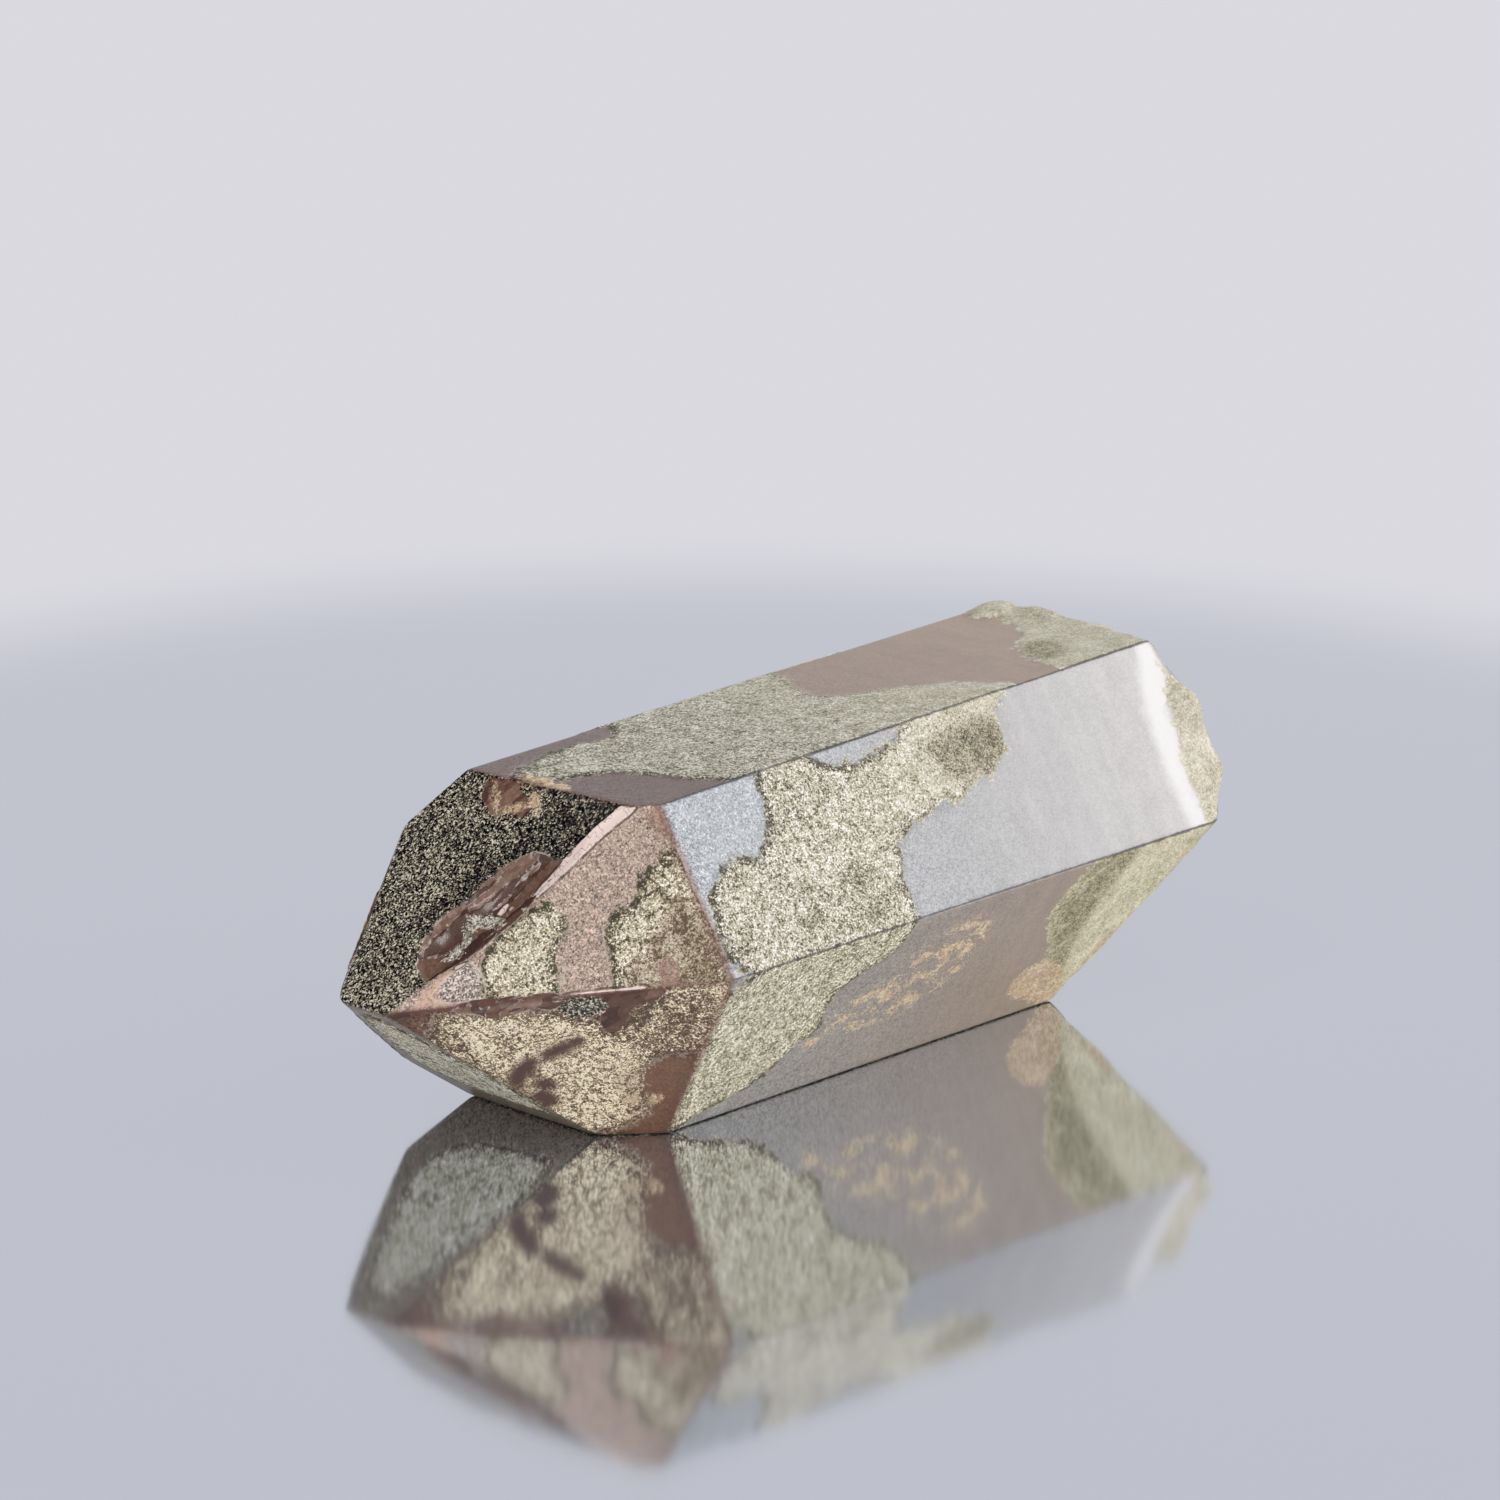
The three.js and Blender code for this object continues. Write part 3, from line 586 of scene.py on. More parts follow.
def joined(points):
    """A grid's points without doubles, and the triangles between them: two to each
    cell, wound so that they face outwards, without those that have closed up."""
    rows, columns = points.shape[:2]
    _, first, place = np.unique(
        np.round(points.reshape(-1, 3), 5), axis=0, return_index=True, return_inverse=True
    )
    place = place.reshape(rows, columns)
    a, d = place[:-1], place[1:]
    b, c = np.roll(a, -1, axis=1), np.roll(d, -1, axis=1)
    triangles = np.concatenate([np.stack([a, d, c], axis=2), np.stack([a, c, b], axis=2)])
    triangles = triangles.reshape(-1, 3)
    open_ones = (triangles != np.roll(triangles, 1, axis=1)).all(axis=1)
    return points.reshape(-1, 3)[first], triangles[open_ones]


class Skin:
    """The crystal's surface as points, with what each face carries of them."""

    def __init__(self, points):
        """A face's share of a point is exp(k d), d being how far the point is above
        it, divided by the sum over all faces and the break. The log of that sum,
        divided by k, is how far an edge is rounded off there. The share of stains and
        colours takes a larger k."""
        self.plain = points
        slope_y, slope_z = (
            (break_at(*(points[:, 1:] + step).T) - break_at(*(points[:, 1:] - step).T)) / (2 * STRIDE)
            for step in (np.array([STRIDE, 0.0]), np.array([0.0, STRIDE]))
        )
        broken = unit(np.stack([np.ones(len(points)), -slope_y, -slope_z], axis=1))
        gap = (points - FEET[:, None]) @ NORMALS[:, :, None]
        gap = gap[..., 0].T
        beyond = (points[:, 0] - break_at(points[:, 1], points[:, 2])) * broken[:, 0]
        self.gap = np.column_stack([gap, beyond])
        power = np.exp(ROUNDING * self.gap)
        self.share = power / power.sum(axis=1, keepdims=True)
        crisp = power**CRISPNESS
        self.sharp = crisp / crisp.sum(axis=1, keepdims=True)
        self.outward = unit(self.share[:, :BROKEN] @ NORMALS + self.share[:, BROKEN:] * broken)
        self.points = points - self.outward * (np.log(power.sum(axis=1)) / ROUNDING)[:, None]

    def measure(self, patches, on_break=OUTSIDE):
        """How deep each point is inside the patches of its faces: on each face the
        most, and between faces the mean by their shares."""
        total = self.sharp[:, BROKEN] * on_break
        for face, name in enumerate(NAMES):
            near = self.sharp[:, face] > TRACE
            away = self.plain[near] - FEET[face]
            s, t = away @ ALONG[face], away @ ACROSS[face]
            value = np.full(near.sum(), OUTSIDE)
            for outline in patches.get(name, []):
                value = np.maximum(value, depth_inside(outline, s, t))
            total[near] += self.sharp[near, face] * value
        return total

    def paint(self, colours):
        """Colours by how much of a point each face and the break have."""
        return self.sharp @ np.array(colours)

    def to_edges(self, pairs):
        """How far points are from the nearest of some edges, each given by its two
        faces: the sum of how far a point is below both."""
        below = [-self.gap[:, [NAMES.index(name) for name in pair]].sum(axis=1) for pair in pairs]
        return np.min(below, axis=0)

    def push(self, distance, direction=None):
        """Moves the points along a direction, or outwards."""
        direction = self.outward if direction is None else direction
        self.points = self.points + np.asarray(distance)[:, None] * direction


def chip_away(skin, edge, at, length, over_first, over_second, hollow):
    """Cuts one conchoidal chip: points inside a stretched ball drop straight to its
    underside. Seen along the edge, a chord joins the chip's two limits on the faces
    and the ball's arc bulges hollow below it. Returns how deep points are inside the
    chip's outline."""
    first, second, start, end = EDGES[edge]
    normal_a, normal_b = NORMALS[NAMES.index(first)], NORMALS[NAMES.index(second)]
    start, end = meet(first, second, start), meet(first, second, end)
    along = unit(end - start)
    down_a, down_b = np.cross(along, normal_a), np.cross(along, normal_b)
    down_a = -np.sign(down_a @ normal_b) * down_a * over_first
    down_b = -np.sign(down_b @ normal_a) * down_b * over_second
    chord = down_a - down_b
    out = unit(np.cross(chord, along))
    out *= np.sign(out @ normal_a)
    half = np.linalg.norm(chord) / 2
    radius = (half**2 + hollow**2) / (2 * hollow)
    middle = start + at * (end - start) + (down_a + down_b) / 2 + out * (radius - hollow)
    away = skin.points - middle
    lengthways = away @ along / (radius * length / (2 * half))
    sideways = away @ np.cross(out, along) / radius
    upright = away @ out / radius
    flat = lengthways**2 + sideways**2
    inside = (flat + upright**2 < 1.0) & (skin.outward @ out > 0.0)
    low = -np.sqrt(np.maximum(0.0, 1.0 - flat))
    skin.push(np.where(inside, radius * (low - upright), 0.0), out)
    return radius * (1.0 - np.sqrt(flat + upright**2)) * half / (2 * hollow)


def grow_lump(skin, at, half, turn):
    """Raises the skin over one lump: each point moves outwards to the far side of a
    stretched ball, where its way out passes through the ball. Returns how far."""
    turn = math.radians(turn)
    spin = np.array([
        [math.cos(turn), math.sin(turn), 0.0],
        [-math.sin(turn), math.cos(turn), 0.0],
        [0.0, 0.0, 1.0],
    ])
    away = (skin.points - np.array(at) - [CENTRE[0], CENTRE[1], 0.0]) @ spin.T / half
    way = skin.outward @ spin.T / half
    a, b = (way**2).sum(axis=1), (away * way).sum(axis=1)
    root = b**2 - a * ((away**2).sum(axis=1) - 1.0)
    reach = np.sqrt(np.maximum(root, 0.0))
    passes = (root > 0.0) & (reach > b) & (-b - reach < 0.05 * a)
    lift = np.where(passes, (reach - b) / a, 0.0)
    skin.push(lift)
    return lift


def break_in_ledges(skin, depth):
    """Cuts steps into the chips. Their number is noise stretched along the ridge plus
    the distance across it; the fraction of the number rises sharply at a half."""
    first, second, left, right = EDGES["ridge"]
    start, end = meet(first, second, left), meet(first, second, right)
    along = unit(end - start)
    out = unit(NORMALS[NAMES.index(first)] + NORMALS[NAMES.index(second)])
    axes = np.stack([along, np.cross(out, along), out])
    place = (skin.plain - start) @ axes.T
    long, wide = LEDGE_SIZES
    stretched = place / [long, wide, wide]
    number = (1.1 * noise(stretched, 1.0, SEED + 2) + 0.3 * noise(stretched, 0.4, SEED + 3)
              + LEDGES_ACROSS * place[:, 1])
    whole = np.floor(number)
    stair = whole + smooth(number - whole, 0.4, 0.6)
    stair = np.clip(stair - np.median(stair[depth > LEDGE_DEPTH]), -MOST_LEDGES, MOST_LEDGES)
    skin.push(-LEDGE * (stair + 1.5) * smooth(depth, 0.0, LEDGE_DEPTH), out)
    return number


def crystal_surface():
    """The whole crystal as one closed skin. The quartz is the plain crystal with its
    edges rounded; the crust stands out of it where its patches are; lumps swell out
    of that by the base, and each chip is cut in turn."""
    points, triangles = joined(grid())
    skin = Skin(points)
    fields = {"crust": skin.measure(CRUST_PATCHES)}
    for name, patches in STAINS.items():
        fields[name] = skin.measure(patches, BREAK_FIELDS.get(name, OUTSIDE))
    coarse, fine = (noise(points, size, SEED + i) for i, size in enumerate(CRUST_LUMPS))
    uneven = 0.9 + 0.22 * (coarse + 0.6 * fine)
    skin.push(CRUST * smooth(fields["crust"], *CRUST_SLOPE) * uneven)
    for at, half, turn in LUMPS:
        lift = grow_lump(skin, at, half, turn)
        deeper = np.maximum(fields["crust"], LUMP_CRUST * lift)
        fields["crust"] = np.where(lift > 0.0, deeper, fields["crust"])
    for edge, *chip in CHIPS:
        depth = chip_away(skin, edge, *chip)
        if edge != "ridge":
            fields["chip"] = np.maximum(fields["chip"], depth)
    chip_away(skin, *BEVEL)
    fields["ledges"] = break_in_ledges(skin, fields["chip"])
    fields["dark_edge"] = skin.to_edges(DARK_EDGES)
    fields["red_edge"] = skin.to_edges(RED_EDGES)
    films = [*(FILMS[name] for name in NAMES), BREAK_FILM]
    colours = np.stack([skin.paint([linear(*film[i]) for film, _ in films]) for i in range(3)])
    place = np.interp(points[:, 0], FILM_PLACES, (0.0, 1.0, 2.0))
    weights = np.maximum(0.0, 1.0 - abs(place - np.arange(3)[:, None]))
    fields["film"] = (weights[..., None] * colours).sum(axis=0)
    # Painted light and shade: each face's factor on its crust's colour.
    fields["bleach"] = skin.paint([bleach for _, bleach in films])
    skin.points[:, 2] = np.maximum(skin.points[:, 2], 0.0)
    return skin, triangles, fields


def make_piece(name, points, triangles, fields):
    """A mesh object at the origin from points in millimetres, with one number or
    colour per point for each field."""
    mesh = bpy.data.meshes.new(name)
    mesh.vertices.add(len(points))
    mesh.vertices.foreach_set("co", (points * MM).ravel())
    mesh.loops.add(triangles.size)
    mesh.loops.foreach_set("vertex_index", triangles.ravel())
    mesh.polygons.add(len(triangles))
    mesh.polygons.foreach_set("loop_start", np.arange(0, triangles.size, 3))
    mesh.polygons.foreach_set("use_smooth", np.ones(len(triangles), bool))
    for label, values in fields.items():
        if values.ndim == 1:
            attribute = mesh.attributes.new(label, "FLOAT", "POINT")
            attribute.data.foreach_set("value", values.astype(np.float32))
        else:
            attribute = mesh.attributes.new(label, "FLOAT_COLOR", "POINT")
            opaque = np.column_stack([values, np.ones(len(values))])
            attribute.data.foreach_set("color", opaque.astype(np.float32).ravel())
    mesh.update(calc_edges=True)
    mesh.validate()
    mesh.set_sharp_from_angle(angle=math.radians(SHARP))
    piece = bpy.data.objects.new(name, mesh)
    bpy.context.collection.objects.link(piece)
    return piece


def operator(operation, turned=False):
    """A method that adds a Math node for a wire and another value, or for the value
    and then the wire."""
    def method(self, other):
        values = (other, self) if turned else (self, other)
        return self.math(operation, *values)
    return method


class Wire:
    """A shader output that takes part in Python expressions: each operator adds a
    Math node."""

    def __init__(self, recipe, socket):
        self.recipe = recipe
        self.socket = socket

    def math(self, operation, *values):
        """A Math node on any values."""
        return self.recipe.node("Math", dict(enumerate(values)), operation=operation)

    __add__ = __radd__ = operator("ADD")
    __sub__ = operator("SUBTRACT")
    __rsub__ = operator("SUBTRACT", turned=True)
    __mul__ = __rmul__ = operator("MULTIPLY")
    __truediv__ = operator("DIVIDE")
    most = operator("MAXIMUM")

    def part(self):
        """What is left of a number above its whole part."""
        return self.math("FRACT", self)

    def line(self, half, soft):
        """1 where a number is near 0, within half, fading to 0 over soft."""
        return 1.0 - self.math("ABSOLUTE", self).step(half, half + soft)

    def step(self, low, high):
        """0 at low, 1 at high, eased between them."""
        sockets = {"Value": self, "From Min": low, "From Max": high}
        return self.recipe.node("MapRange", sockets, interpolation_type="SMOOTHSTEP")


class Recipe:
    """The nodes of one material, or of the room around the crystal."""

    def __init__(self, holder):
        self.holder = holder
        holder.use_nodes = True
        self.tree = holder.node_tree
        self.tree.nodes.clear()

    def node(self, kind, sockets=None, out=0, **settings):
        """Adds a node, with its settings and the values or links of its sockets.
        Returns one of its outputs."""
        made = self.tree.nodes.new("ShaderNode" + kind)
        for name, value in settings.items():
            if name == "stops":
                while len(made.color_ramp.elements) < len(value):
                    made.color_ramp.elements.new(1.0)
                for element, (position, colour) in zip(made.color_ramp.elements, value):
                    element.position = position
                    element.color = (*colour, 1.0)
            else:
                setattr(made, name, value)
        for key, value in (sockets or {}).items():
            if isinstance(value, Wire):
                self.tree.links.new(value.socket, made.inputs[key])
            else:
                made.inputs[key].default_value = value
        return Wire(self, made.outputs[out]) if made.outputs else None

    def field(self, name, out="Fac"):
        """One of the numbers or colours that the mesh carries at each point."""
        return self.node("Attribute", out=out, attribute_name=name)

    def noise(self, place, size, detail=2.0, roughness=0.5):
        """Noise from about -1 to 1 with lumps of a size in millimetres."""
        sockets = {"Vector": place, "Scale": 1 / (size * MM), "Detail": detail, "Roughness": roughness}
        return (self.node("TexNoise", sockets, "Fac") - 0.5) * 3.0

    def grains(self, place, size):
        """Grains of a size in millimetres: a random number from 0 to 1 for each."""
        colour = self.node("TexVoronoi", {"Vector": place, "Scale": 1 / (size * MM)}, "Color")
        return self.node("SeparateColor", {"Color": colour}, "Red")

    def blend(self, share, first, second):
        """A colour between two, by a share."""
        sockets = {0: share, 6: colour_of(first), 7: colour_of(second)}
        return self.node("Mix", sockets, 2, data_type="RGBA")

    def mark(self, colour, shares):
        """A colour with marks laid over it in turn, each by its share."""
        for share, name in shares:
            colour = self.blend(share, colour, MARKS[name])
        return colour

    def multiply(self, colour, factor):
        """A colour made brighter or darker by a factor."""
        return self.node("VectorMath", {0: colour, "Scale": factor}, operation="SCALE")

    def times(self, one, other):
        """A place or a colour times another, each of the three parts by its own."""
        return self.node("VectorMath", {0: one, 1: other}, operation="MULTIPLY")

    def ramp(self, value, stops):
        """Colours by a number from 0 to 1."""
        stops = [(position, linear(*colour)) for position, colour in stops]
        return self.node("ValToRGB", {"Fac": value}, stops=stops)


def linear(*levels):
    """Light levels from display levels of 0 to 255."""
    shares = [level / 255 for level in levels]
    return tuple(s / 12.92 if s <= 0.04045 else ((s + 0.055) / 1.055) ** 2.4 for s in shares)


def colour_of(colour):
    """A link as it is, or a display colour of three levels as a socket's value."""
    return colour if isinstance(colour, Wire) else (*linear(*colour), 1.0)


# The quartz takes away this much light per millimetre: red, green, blue.
SMOKE = (0.16, 0.36, 0.7)
QUARTZ_IOR = 1.544
QUARTZ_ROUGHNESS = 0.03

# Colours from dark to light, each at its place from 0 to 1.
CRUST_COLOURS = [
    (0.0, (58, 54, 40)), (0.2, (112, 104, 80)), (0.4, (168, 161, 134)),
    (0.6, (202, 195, 170)), (0.8, (222, 217, 198)), (1.0, (252, 250, 244)),
]
THIN_CRUST_COLOURS = [
    (0.0, (78, 64, 54)), (0.3, (128, 110, 92)), (0.5, (172, 156, 131)),
    (0.7, (206, 194, 167)), (1.0, (240, 232, 210)),
]
PALE_COLOURS = [(0.0, (92, 76, 68)), (0.5, (174, 158, 146)), (1.0, (244, 234, 222))]
SPECK_COLOURS = [(0.0, (38, 44, 54)), (0.3, (80, 80, 76)), (0.6, (176, 165, 130)), (1.0, (246, 240, 216))]
BROKEN_COLOURS = [(0.0, (76, 51, 40)), (0.5, (110, 79, 62)), (1.0, (150, 118, 100))]
GOLDEN_COLOURS = [(0.0, (180, 138, 102)), (0.5, (220, 192, 152)), (1.0, (244, 228, 194))]

# Marks of one colour each.
MARKS = {
    "peach": (222, 184, 160),
    # the whitish rim of the base, and a corner of painted glints
    "worn": (224, 222, 220),
    "ruddy film": (146, 108, 82),
    "ruddy crust": (128, 96, 70),
    "halo": (204, 190, 174),
    "ledge_highlight": (222, 210, 200),
    "chip outline": (206, 198, 184),
    "purple": (100, 74, 68),
    # the bright strips, and two painted glints
    "bright": (246, 224, 212),
    # a painted shadow beside the bright strips
    "painted shadow under bright": (66, 50, 44),
    "pale outline": (226, 210, 184),
    "dark edge": (50, 48, 54),
    "red edge": (112, 70, 56),
}

# Sizes in millimetres: of the noise, and of the grains.
BROAD, MIDDLE, FINE = 4.0, 1.2, 0.4
GRIT, SPARK, GRAIN, CLUMP = 0.065, 0.1, 0.11, 0.3

# Places along the crystal between which the finish of the near half and that of the
# point fade out.
NEAR_FADE = (-6.0, 16.0)
POINT_FADE = (-15.0, -12.0)

FILM_BUMP, CRUST_BUMP = 0.004, 0.02  # relief of the grains in millimetres
FILM_ROUGHNESS = 0.34
CRUST_ROUGHER, STONE_SMOOTHER = 0.32, 0.16  # than the film
FILM_IOR = 1.5


def crystal_finish():
    """Clear smoky quartz, over most of which lies a thin film or a grainy crust."""
    work = Recipe(bpy.data.materials.new("smoky_quartz_with_crust"))
    place = work.node("TexCoord", out="Object")
    along = work.node("SeparateXYZ", {"Vector": place}, "X") / MM
    near = 1.0 - along.step(*NEAR_FADE)
    on_point = 1.0 - along.step(*POINT_FADE)
    broad = work.noise(place, BROAD, 1.0)
    middle = work.noise(place, MIDDLE, 2.0, 0.6)
    fine = work.noise(place, FINE, 2.0, 0.65)
    grit, spark, grain, clump = (work.grains(place, size) for size in (GRIT, SPARK, GRAIN, CLUMP))
    scatter = 0.5 * grit + 0.38 * grain + 0.12 * clump
    dust = scatter - 0.5
    wander = 0.8 * middle + 0.45 * fine
    patchy = (middle + fine).step(-0.4, 0.1)

    # Which finish lies where.
    ragged_chip = work.field("chip") + 0.14 * middle + 0.12 * fine
    chip = ragged_chip.step(-0.03, 0.03)
    brown = (work.field("brown") + 0.25 * middle + 0.18 * fine).step(-0.04, 0.04)
    bare = chip.most(brown)
    clear = (work.field("clear") + 0.2 * middle + 0.5 * dust).step(-0.1, 0.1)
    sparse = (work.field("sparse") + 0.3 * middle).step(-0.6, 0.8)
    depth = work.field("crust") + 0.7 * wander + 0.5 * dust
    regrown = (work.field("regrown") + 0.3 * middle + 0.3 * fine + 0.7 * dust).step(-0.1, 0.2)
    rosy = (work.field("rosy") + 0.2 * wander).step(-0.05, 0.05)
    crusted = (depth.step(-0.05, 0.05) * (1.0 - bare) * (1.0 - rosy)).most(regrown)
    rim = (depth - 0.24).line(0.1, 0.3) * patchy * near
    vein = work.noise(place, 1.5, 2.0).line(0.03, 0.12) * broad.step(-0.5, 0.2)
    vein = vein * near * (0.5 + 0.5 * on_point)
    halo = (depth + 0.13).line(0.03, 0.1) * patchy * on_point
    olive = (work.field("olive") + 0.8 * wander).step(-0.5, 0.5)
    # Golden spots, with painted glints on the point's lower front and a painted glow by the base.
    gold = (work.field("gold") + 0.3 * wander + 0.4 * dust).step(-0.15, 0.25)
    lens = work.noise(work.times(place, (0.6, 1.0, 1.0)), 0.8, 3.0) + 0.9 * dust
    flecks = work.field("flecks").step(-0.4, 0.8) * lens.step(0.0, 0.35)
    ruddy = (work.field("ruddy") + 0.6 * wander).step(-0.3, 0.3)
    pale = work.field("pale") + 0.1 * middle
    worn = (work.field("worn") + 0.25 * middle).step(-0.8, 0.5)
    bright = (work.field("bright") + 0.04 * fine).step(-0.03, 0.03)
    purple = (work.field("purple") + 0.5 * wander + 1.2 * dust).step(-0.2, 0.2)
    sown = 0.5 * spark + 0.5 * scatter + 0.03 * fine + 0.04 * middle + 0.06 * broad
    fresh = work.field("fresh").step(-0.5, 0.5) * (broad + 0.5 * wander + 0.4).step(0.0, 0.2)
    specks = (sown - 0.08 * sparse - 0.3 * fresh).step(0.4, 0.6)

    # The film, the crust on it and the specks.
    streaks = work.noise(work.times(place, (1.0, 0.12, 0.12)), 0.9, 1.0) * (1.0 - near)
    # Painted glitter: sparkling grains of the film made lighter.
    glitter = work.field("glitter").step(-0.05, 0.05) * spark.step(0.75, 0.95)
    shade = 0.95 + (0.3 + 1.1 * near + 0.8 * on_point) * dust + 0.08 * wander
    shade = shade + 0.08 * streaks + 0.6 * glitter
    film = work.multiply(work.field("film", "Color"), shade)
    mottled = work.ramp(0.44 + 2.4 * dust + 0.3 * fine, PALE_COLOURS)
    film = work.blend(0.85 * pale.step(-0.1, 0.1), film, mottled)
    peach = (work.field("peach") + 0.12 * wander).step(-0.1, 0.15)
    film = work.mark(film, [
        (peach * (0.2 + scatter), "peach"),
        # the whitish rim of the base, and a corner of painted glints
        (0.8 * worn, "worn"),
        (0.5 * ruddy * on_point, "ruddy film"),
        (0.5 * halo, "halo"),
    ])
    tone = 0.6 + (0.6 + 0.9 * near) * dust + 0.12 * fine + 0.13 * middle + 0.08 * broad
    dark_grains = spark.step(0.76, 0.9).most(clump.step(0.9, 0.94)) * near
    tone = tone + 0.02 - 0.55 * rim - 0.36 * vein - 0.27 * olive - 0.3 * dark_grains
    thick = work.ramp(tone, CRUST_COLOURS)
    ragged = tone + 0.6 * dust + 0.2 * fine + 0.1 * middle + 0.11 - 0.12 * olive
    thin = work.ramp(ragged, THIN_CRUST_COLOURS)
    crust = work.blend(work.field("rusty").step(-0.05, 0.05), thick, thin)
    # Painted light and shade: the crust on each face made lighter or darker by its factor.
    crust = work.times(crust, work.field("bleach", "Color"))
    crust = work.mark(crust, [(0.36 * ruddy, "ruddy crust")])
    speck = work.ramp(1.5 * (sown - 0.5) + 0.6 * grain + 0.03 - 0.25 * sparse, SPECK_COLOURS)
    colour = work.blend(clear * specks, film, speck)
    colour = work.blend(crusted, colour, crust)

    # Broken stone, with a pale line on each step, painted as the highlight along the step's edge.
    number = work.field("ledges") + 0.12 * fine
    plate = (number.math("ROUND", number) * 0.618).part()
    broken = work.ramp(plate + 0.25 * fine + 0.15 * dust, BROKEN_COLOURS)
    ledge_highlight = (number.part() - 0.5).line(0.02, 0.06) * chip * fine.step(-0.3, 0.3)
    outline = ragged_chip.line(0.03, 0.04) * middle.step(-0.2, 0.3)
    broken = work.mark(broken, [(0.8 * ledge_highlight, "ledge_highlight")])
    colour = work.blend(bare * (1.0 - regrown), colour, broken)
    colour = work.mark(colour, [(0.5 * outline, "chip outline")])

    # Marks over everything.
    # Gold over spots and flecks, and over the painted glints and glow.
    golden = gold.most(1.3 * flecks * (1.0 - 0.5 * crusted)) * (0.8 + 0.8 * dust + 0.2 * fine)
    gilt = work.ramp(0.5 * fine + scatter, GOLDEN_COLOURS)
    colour = work.blend(golden, colour, gilt)
    crack = work.noise(place, 0.7, 1.0).line(0.02, 0.04)
    # A painted shadow: a dark line just outside the bright strips, broken up by noise.
    under = (work.field("bright") + 0.1).line(0.03, 0.05) * middle.step(-0.4, 0.0)
    dark_edge = 1.0 - (work.field("dark_edge") + 0.05 * fine).step(0.02, 0.11)
    red_edge = 1.0 - (work.field("red_edge") + 0.08 * fine).step(0.02, 0.32)
    colour = work.mark(colour, [
        (purple, "purple"),
        # bright strips, with two painted glints
        (bright * (1.0 - 0.8 * crack), "bright"),
        # the painted shadow beside the bright strips
        (0.8 * under, "painted shadow under bright"),
        (0.6 * pale.line(0.02, 0.08) * near * (1.0 - bare), "pale outline"),
        (0.75 * dark_edge, "dark edge"),
        (0.6 * red_edge * (1.0 - bright), "red edge"),
    ])

    height = (FILM_BUMP + CRUST_BUMP * work.field("crust").step(0.0, 0.2)) * grain
    bump = work.node("Bump", {"Height": height, "Distance": MM}, "Normal")
    rough = FILM_ROUGHNESS + CRUST_ROUGHER * crusted - STONE_SMOOTHER * bare
    covered = work.node("BsdfPrincipled", {
        "Base Color": colour, "Roughness": rough, "Normal": bump, "IOR": FILM_IOR,
    })
    quartz = work.node("BsdfPrincipled", {
        "Base Color": (1.0, 1.0, 1.0, 1.0), "Roughness": QUARTZ_ROUGHNESS,
        "IOR": QUARTZ_IOR, "Transmission Weight": 1.0,
    })
    marked = (0.85 * bare).most(crusted).most(specks).most(gold).most(outline).most(bright)
    glassy = clear * (1.0 - marked)
    surface = work.node("MixShader", {0: glassy, 1: covered, 2: quartz})
    density = max(SMOKE)
    smoke = tuple(1.0 - amount / density for amount in SMOKE)
    inside = work.node("VolumeAbsorption", {"Color": (*smoke, 1.0), "Density": density / MM})
    work.node("OutputMaterial", {"Surface": surface, "Volume": inside})
    return work.holder


# The camera, as worked out from the photograph's perspective of the crystal.
CAMERA_TURN = -45.15  # degrees round the crystal, from looking along +Y
CAMERA_RISE = 17.21  # degrees above the floor
CAMERA_ROLL = 0.16  # degrees round the line of sight
CAMERA_AWAY = 429.47  # from the point that it looks at
CAMERA_TARGET = (41.48, 42.24, 0.0)
CAMERA_LENS = 153.68  # focal length for a sensor 36 mm wide


def place_camera():
    """A camera on the line of sight back from its target, turned by its roll."""
    turn, rise, roll = (math.radians(a) for a in (CAMERA_TURN, CAMERA_RISE, CAMERA_ROLL))
    back = Vector((math.sin(turn) * math.cos(rise), -math.cos(turn) * math.cos(rise), math.sin(rise)))
    right = Vector((0, 0, 1)).cross(back).normalized()
    up = back.cross(right)
    level = math.cos(roll) * right + math.sin(roll) * up
    data = bpy.data.cameras.new("camera")
    data.sensor_width = 36
    data.lens = CAMERA_LENS
    data.clip_start, data.clip_end = 0.01, 20
    camera = bpy.data.objects.new("camera", data)
    turned = Matrix((level, back.cross(level), back)).transposed().to_4x4()
    camera.matrix_world = Matrix.Translation((Vector(CAMERA_TARGET) + CAMERA_AWAY * back) * MM) @ turned
    bpy.context.collection.objects.link(camera)
    bpy.context.scene.camera = camera


# Lights: the way to the light from the crystal, how far away it is, its width and
# height, its brightness seen from the crystal, and its colour.
LIGHTS = {
    "window_light": ((0.668, -0.574, 0.474), 500, (270, 270), 4.6, (1.0, 0.98, 0.96)),
    "fill_light": ((-0.55, -0.82, 0.15), 600, (500, 180), 2.2, (1.0, 0.98, 0.95)),
    "top_light": ((-0.565, 0.015, 0.832), 450, (110, 110), 7.0, (1.0, 0.97, 0.94)),
}
WALL_LIGHT = (0.700, 0.695, 0.745)  # the pale room around the crystal
DARK_CARD = (-0.206, 0.628, 0.750)  # the way to a dark card that the point's top mirrors
DARK_CARD_HALF = 30.0  # degrees from its middle to its edge
DARK_CARD_FADE = 9.0
CARD_LIGHT = (0.03, 0.045, 0.085)


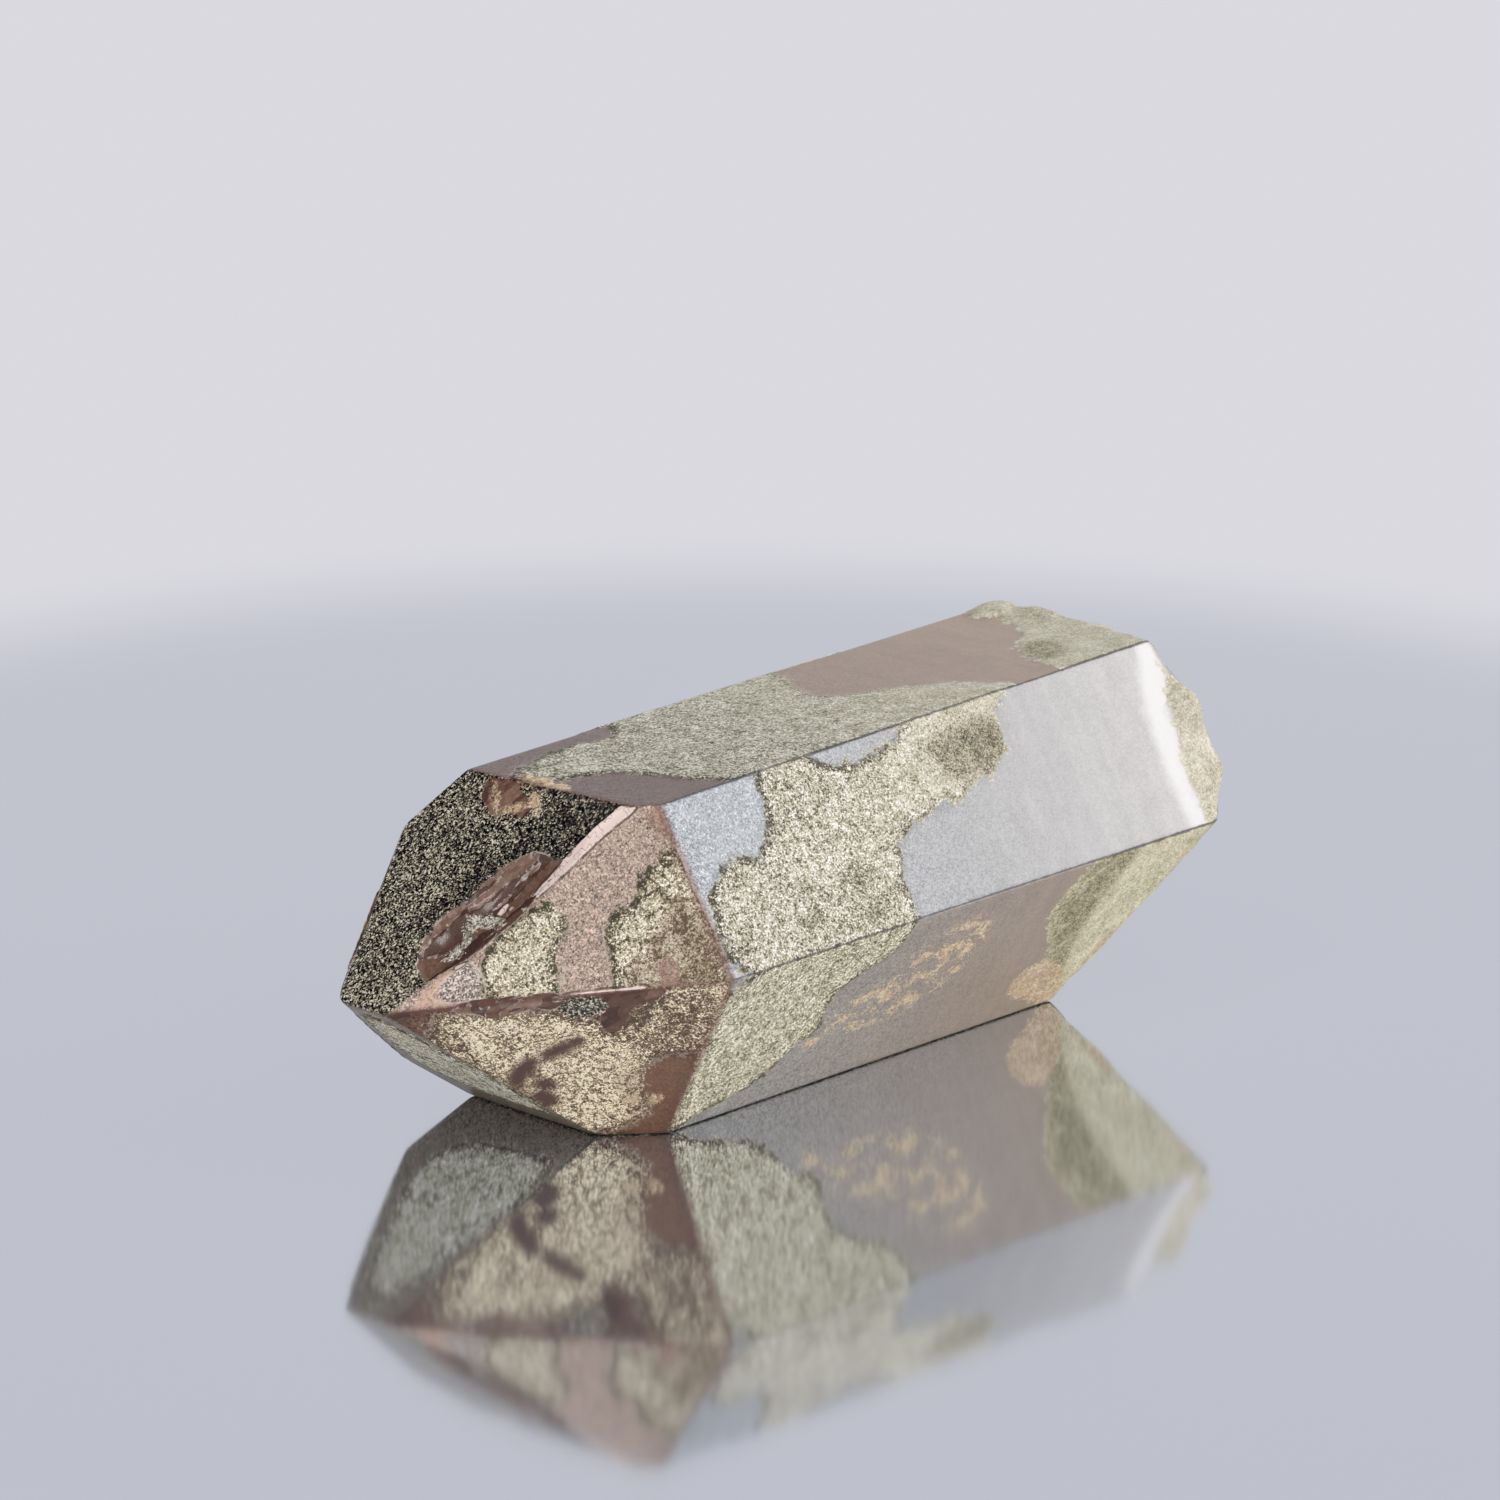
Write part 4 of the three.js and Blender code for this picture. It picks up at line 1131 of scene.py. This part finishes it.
def place_lights():
    """Soft rectangular lights that face the crystal, in a pale room with one dark
    card. A light's power is pi times its brightness times its area."""
    for name, (way, away, (width, height), bright, colour) in LIGHTS.items():
        data = bpy.data.lights.new(name, "AREA")
        data.shape = "RECTANGLE"
        data.size, data.size_y = width * MM, height * MM
        data.energy = bright * math.pi * width * height * MM**2
        data.color = colour
        light = bpy.data.objects.new(name, data)
        way = Vector(way).normalized()
        light.location = Vector(CENTRE) * MM + way * away * MM
        light.rotation_euler = way.to_track_quat("Z", "Y").to_euler()
        bpy.context.collection.objects.link(light)
    room = bpy.data.worlds.new("room")
    room.use_nodes = True
    bpy.context.scene.world = room
    work = Recipe(room)
    way = work.node("TexCoord", out="Generated")
    near = work.node("VectorMath", {0: way, 1: DARK_CARD}, "Value", operation="DOT_PRODUCT")
    edge = [math.cos(math.radians(DARK_CARD_HALF + fade)) for fade in (DARK_CARD_FADE, -DARK_CARD_FADE)]
    sockets = {0: near.step(*edge), 6: (*WALL_LIGHT, 1.0), 7: (*CARD_LIGHT, 1.0)}
    light = work.node("Mix", sockets, 2, data_type="RGBA")
    background = work.node("Background", {"Color": light})
    work.node("OutputWorld", {"Surface": background})


FLOOR_HALF = 900.0  # the floor's half width
FLOOR_DROP = 0.02  # the gap that keeps the floor clear of the crystal
POLISHED = 93.0  # radius of the polished part, whose edge fades
POLISHED_FADE = 14.0
POLISHED_MIDDLE = (6.0, 6.9)  # x and y
PLATE_COLOUR = (219, 223, 229)


def place_floor():
    """A plain pale floor, polished round the crystal."""
    mesh = bpy.data.meshes.new("floor")
    half, low = FLOOR_HALF * MM, -FLOOR_DROP * MM
    corners = [(-half, -half, low), (half, -half, low), (half, half, low), (-half, half, low)]
    mesh.from_pydata(corners, [], [(0, 1, 2, 3)])
    floor = bpy.data.objects.new("floor", mesh)
    bpy.context.collection.objects.link(floor)
    work = Recipe(bpy.data.materials.new("pale_floor"))
    place = work.node("TexCoord", out="Object")
    middle = (POLISHED_MIDDLE[0] * MM, POLISHED_MIDDLE[1] * MM, 0.0)
    away = work.node("VectorMath", {0: place, 1: middle}, "Value", operation="DISTANCE") / MM
    polished = 1.0 - away.step(POLISHED - POLISHED_FADE, POLISHED + POLISHED_FADE)
    plate = work.node("BsdfPrincipled", {
        "Base Color": colour_of(PLATE_COLOUR), "Metallic": 0.95, "Roughness": 0.08,
    })
    table = work.node("Emission", {"Color": (*WALL_LIGHT, 1.0)})
    shader = work.node("MixShader", {0: polished, 1: table, 2: plate})
    work.node("OutputMaterial", {"Surface": shader})
    mesh.materials.append(work.holder)


place_camera()
skin, triangles, fields = crystal_surface()
crystal = make_piece("smoky_quartz_crystal_surface", skin.points, triangles, fields)
crystal.data.materials.append(crystal_finish())
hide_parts("smoky_quartz_crystal")
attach(crystal, "root")
place_floor()
place_lights()
bpy.context.scene.view_settings.view_transform = "Standard"
